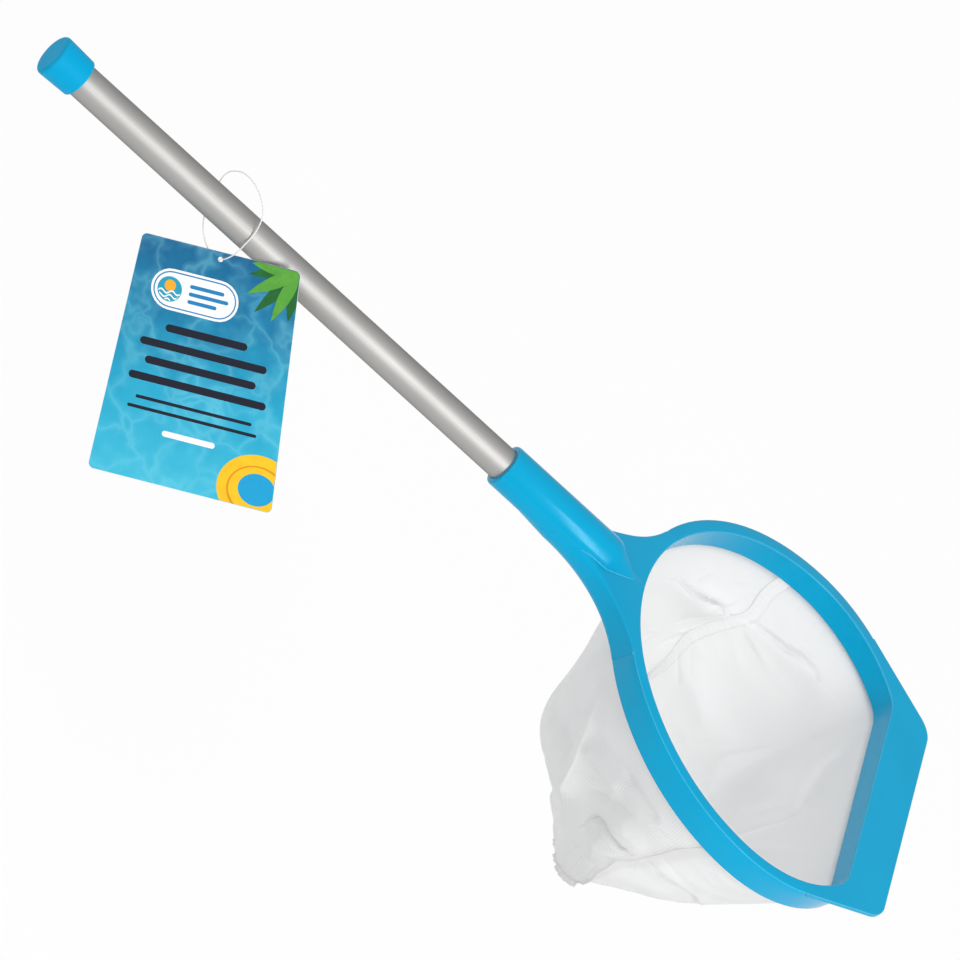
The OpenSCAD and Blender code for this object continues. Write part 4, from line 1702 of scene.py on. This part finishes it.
    def clipped(self, points: Sequence[Spot]) -> list[Spot]:
        """Cuts a shape back to the card's own outline.

        Args:
            points: The shape's outline.

        Returns:
            The outline of what is left.
        """
        out = list(points)
        edge = self.outline(self.print_inset)
        for (ax, ay), (bx, by) in zip(edge, edge[1:] + edge[:1]):
            kept: list[Spot] = []
            for (x0, y0), (x1, y1) in zip(out, out[1:] + out[:1]):
                d0, d1 = ((bx - ax) * (y - ay) - (by - ay) * (x - ax) for x, y in ((x0, y0), (x1, y1)))
                if d0 >= 0:
                    kept.append((x0, y0))
                if d0 * d1 < 0:
                    t = d0 / (d0 - d1)
                    kept.append((x0 + t * (x1 - x0), y0 + t * (y1 - y0)))
            out = kept
        return out

    def card(self) -> bpy.types.Object:
        """Makes the board itself, its front printed and its back and edges plain.

        Returns:
            The board.
        """
        edge, hole = self.outline(), self.circle(0, 0, self.hole, 40)
        z = self.thickness / 2
        front, faces = self.flat([edge, hole], z)
        back, back_faces = self.flat([edge, hole], -z)
        n, m = len(edge), len(hole)
        count = len(front)
        faces += [tuple(count + v for v in reversed(f)) for f in back_faces]
        faces += [(k, count + k, count + (k + 1) % n, (k + 1) % n) for k in range(n)]
        faces += [(n + (k + 1) % m, count + n + (k + 1) % m, count + n + k, n + k) for k in range(m)]
        points = front + back
        low = self.hole_in - self.height
        uv = np.array([(x / self.height + 0.5, (y - low) / self.height) for x, y, _ in points])
        made = piece("printed_card", points, faces, self.board, uv, 30)
        made.data.materials.append(self.water)
        for face in made.data.polygons:
            face.material_index = int(face.normal.z > 0.9 and face.center.z > 0)
        return made

    def badge(self) -> list[Shape]:
        """Draws the plain badge: its frames, a sea with a sun and waves, and short bars.

        Returns:
            Its shapes.
        """
        out = [(ink, self.bar(*self.badge_at, w, h), k) for k, (ink, w, h) in enumerate(self.badge_frames, 1)]
        x, y = self.sea_at
        out.append((Print.TEAL, self.circle(x, y, self.sea_radius), 4))
        out.append((Print.SUN, self.circle(x, y + self.sun_up, self.sun_radius, 32), 5))
        for k in range(self.wave_count):
            left, middle = x - self.wave_half, y - self.wave_down - self.wave_pitch * k
            top = [(left + 2 * self.wave_half * t,
                    middle + self.wave_height * math.sin(t * self.wave_rate + k))
                   for t in np.linspace(0, 1, 25)]
            under = [(px, py - self.wave_thickness) for px, py in reversed(top)]
            wave = [p for p in top + under if math.dist(p, self.sea_at) < self.sea_radius - self.sea_edge]
            out.append((Print.WHITE, wave, 6))
        out += [(Print.BLUE, self.bar(self.badge_bars_x + w / 2, by, w, self.badge_bar_height), 4)
                for by, w in self.badge_bars]
        return out

    def prints(self) -> list[Shape]:
        """Draws everything that is printed on the card.

        Returns:
            Each shape's ink, its outline and its layer.
        """
        out = self.badge()
        out += [(ink, self.bar(0, y, w, h), 1) for ink, y, w, h in self.bars]
        out += [(ink, self.clipped(self.circle(*oval)), k)
                for k, (ink, *oval) in enumerate(self.float_ring, 1)]
        (x, y), (dx, dy) = self.leaves_at, self.leaf_step
        for k, (length, lean) in enumerate(self.leaves):
            ink = Print.LEAF_LIGHT if k % 2 else Print.LEAF_DARK
            leaf = self.clipped(self.leaf(x + dx * k, y + dy * k, length, lean))
            out.append((ink, leaf, 2 + k // 2 + 3 * (k % 2)))
        return out

    def build(self) -> None:
        """Makes the card with its print, and places it."""
        inks = {ink: ink.value.material() for ink in Print}
        parts = [self.card()]
        for ink, outline, level in self.prints():
            points, faces = self.flat([outline], self.thickness / 2 + self.layer * level)
            parts.append(piece(f"print_{ink.name.lower()}", points, faces, inks[ink]))
        made = joined("printed_card", parts)
        made.data.transform(self.frame())
        made.data.update()
        finished(made, "hang_tag", "tag")


@dataclass
class ThreadLoop:
    """The thread that goes through the card's hole, round the tube and back to its knot, in millimetres."""

    thread: bpy.types.Material
    diameter: float = 1.0
    sides: int = 12
    knot_diameter: float = 3.0
    knot_steps: int = 90
    knot_sides: int = 10
    knot_at: Point = (-44.8, -8.3, -31.0)
    route: tuple[Point, ...] = (
        (-43.7, -9.1, -29.6), (-43.8, -10.0, -27.5), (-43.6, -10.8, -25.0), (-42.9, -11.8, -22.5),
        (-42.7, -13.7, -15.5), (-43.5, -15.5, -8.0), (-44.8, -15.0, 0.0), (-45.8, -10.5, 10.5),
        (-48.4, -4.6, 18.0), (-52.2, 1.0, 22.2), (-60.2, 8.0, 25.0), (-68.6, 14.7, 24.7),
        (-75.7, 19.3, 21.5), (-80.0, 21.3, 16.2), (-82.1, 21.6, 10.0), (-80.9, 19.4, 1.8),
        (-77.5, 14.7, -9.2), (-71.8, 8.4, -19.5), (-65.7, 4.1, -26.0), (-60.2, 0.6, -29.5),
        (-54.8, -3.1, -31.0), (-50.1, -5.9, -31.5), (-46.4, -7.6, -31.5),
    )

    def path(self) -> np.ndarray:
        """The thread's middle line, in metres."""
        return spline(self.route, 8) * MM

    def knot(self) -> bpy.types.Object:
        """Makes an overhand knot drawn up tight, a trefoil that lies in the card's plane.

        Returns:
            The knot.
        """
        t = np.linspace(0, 2 * math.pi, self.knot_steps, endpoint=False)
        trefoil = np.stack([np.sin(t) + 2 * np.sin(2 * t), np.cos(t) - 2 * np.cos(2 * t),
                            -1.1 * np.sin(3 * t)], axis=1)
        # The trefoil's own radius, before it is scaled.
        reach = 3.0
        line = trefoil * ((self.knot_diameter - self.diameter) / 2 / reach) * MM
        line = np.vstack([line, line[:1]])
        line = line @ np.array(turned(HangTag.turn)).T + np.array(self.knot_at) * MM
        return tube("thread_knot", line, self.diameter / 2 * MM, self.knot_sides, self.thread)

    def build(self) -> None:
        path = self.path()
        loop = tube("thread_loop", path, self.diameter / 2 * MM, self.sides, self.thread)
        knot = self.knot()
        finished(loop, "tag_loop", "loop")
        finished(knot, "tag_loop_knot", "loop")


# --------------------------------------------------------------------------- studio


@dataclass
class Studio:
    """Camera, lamp, pale floor and white room, in metres."""

    right: Point = (0.69734, 0.16473, 0.69762)
    up: Point = (-0.62473, 0.61672, 0.47887)
    back: Point = (-0.35140, -0.76971, 0.53293)
    anchor: Point = (0.472, 0.0, 0.004)
    centre_right: float = -0.19624
    centre_up: float = 0.14729
    field: float = 0.68446
    distance: float = 24.0
    roll: float = 0.0076
    sensor: float = 36.0
    clip: Spot = (5.0, 500.0)
    lamp_aim: Point = (0.2, 0.0, -0.02)
    floor_z: float = -0.62
    floor_half: float = 120.0
    floor_glow: float = 0.92
    sky_way: Point = (-0.40, -0.30, 0.87)
    sky_power: float = 2.0
    sky_gain: float = 0.60
    sky_base: float = 0.52

    def camera(self) -> None:
        """Makes the long-lens camera."""
        r, u, b = (Vector(v).normalized() for v in (self.right, self.up, self.back))
        r, u = r + u * self.roll, u - r * self.roll
        r, u = r.normalized(), u.normalized()
        aim = Vector(self.anchor) + r * self.centre_right + u * self.centre_up
        data = bpy.data.cameras.new("camera")
        data.sensor_width = self.sensor
        data.lens = self.sensor * self.distance / self.field
        data.clip_start, data.clip_end = self.clip
        cam = placed("camera", data)
        turn = Matrix((r, u, b)).transposed().to_4x4()
        cam.matrix_world = Matrix.Translation(aim + b * self.distance) @ turn
        bpy.context.scene.camera = cam

    def lamp(self, name: str, offset: Point, size: Spot, power: float) -> None:
        """Adds a soft box that looks at the object.

        Args:
            name: Its name.
            offset: Where it stands, as metres right, up and back in the camera's directions.
            size: Its width and height in metres.
            power: Its power in watts.
        """
        r, u, b = Vector(self.right), Vector(self.up), Vector(self.back)
        aim = Vector(self.lamp_aim)
        data = bpy.data.lights.new(name, "AREA")
        data.shape = "RECTANGLE"
        data.size, data.size_y = size
        data.energy = power
        lamp = placed(name, data)
        lamp.location = aim + r * offset[0] + u * offset[1] + b * offset[2]
        lamp.rotation_mode = "QUATERNION"
        lamp.rotation_quaternion = (aim - lamp.location).to_track_quat("-Z", "Y")

    def floor(self) -> None:
        """Makes the pale floor, which the camera and mirrors see as nearly white."""
        s = Shader("floor_white")
        tint = s.clouded(s.noise(3.0, 2.0), grey(0.86), grey(0.88))
        s.principled(Base_Color=tint, Roughness=0.9, Specular_IOR_Level=0.0)
        rays = s.node("ShaderNodeLightPath").outputs
        seen = s.math("MAXIMUM", rays["Is Camera Ray"], rays["Is Glossy Ray"])
        seen = s.math("MAXIMUM", seen, rays["Is Transmission Ray"])
        glow = s.feed(s.node("ShaderNodeEmission"), Color=(*grey(1), 1), Strength=1.0)
        white = s.blend(s.math("MULTIPLY", seen, self.floor_glow), glow)
        corners = [(x * self.floor_half, y * self.floor_half, self.floor_z)
                   for x, y in ((-1, -1), (1, -1), (1, 1), (-1, 1))]
        piece("floor", corners, [(0, 1, 2, 3)], white)

    def world(self) -> None:
        """Makes the room: even light, brighter from above and in front, and white to the camera."""
        world = bpy.data.worlds.new("room")
        bpy.context.scene.world = world
        world.use_nodes = True
        sky = Nodes(world.node_tree)
        way = sky.node("ShaderNodeTexCoord").outputs["Generated"]
        value = sky.vector("DOT_PRODUCT", way, Vector(self.sky_way).normalized()).outputs["Value"]
        for operation, by in (("MAXIMUM", 0.0), ("POWER", self.sky_power), ("MULTIPLY", self.sky_gain),
                              ("ADD", self.sky_base)):
            value = sky.math(operation, value, by)
        value = sky.math("MAXIMUM", value, sky.node("ShaderNodeLightPath").outputs["Is Camera Ray"])
        sky.feed(sky.tree.nodes["Background"], Strength=value, Color=(*grey(1), 1))

    def build(self) -> None:
        """Sets up the whole studio."""
        self.camera()
        self.world()
        self.floor()
        self.lamp("key", (1.80, -1.50, 2.59), (0.5, 2.3), 68.0)
        bpy.context.scene.view_settings.view_transform = "Standard"


def main() -> None:
    """Builds the scene in order."""
    logging.basicConfig(level=logging.INFO, format="%(name)s: %(message)s")
    Studio().build()
    HangTag(Board().material(), WaterPrint().material()).build()
    ThreadLoop(Thread().material()).build()
    plastic = BluePlastic().material()
    cloth = MeshCloth().material()
    seam_cloth = MeshCloth("seam_cloth", through=0.3, colour=(0.945, 0.943, 0.94)).material()
    Moulding(plastic, cloth).build()
    # The cap's finish carries the same painted highlight along its rounded upper edges.
    vinyl = BluePlastic("blue_cap", colour=rgb(0, 160, 208), roughness=0.5, shine=0.2).material()
    Handle(SatinAluminium().material(), vinyl, ZincSteel().material()).build()
    stitches = StitchTree(Thread("sewing_thread", pitch=1.0 * MM).material())
    NetBag(cloth, seam_cloth, stitches).build()


if __name__ == "__main__":
    main()
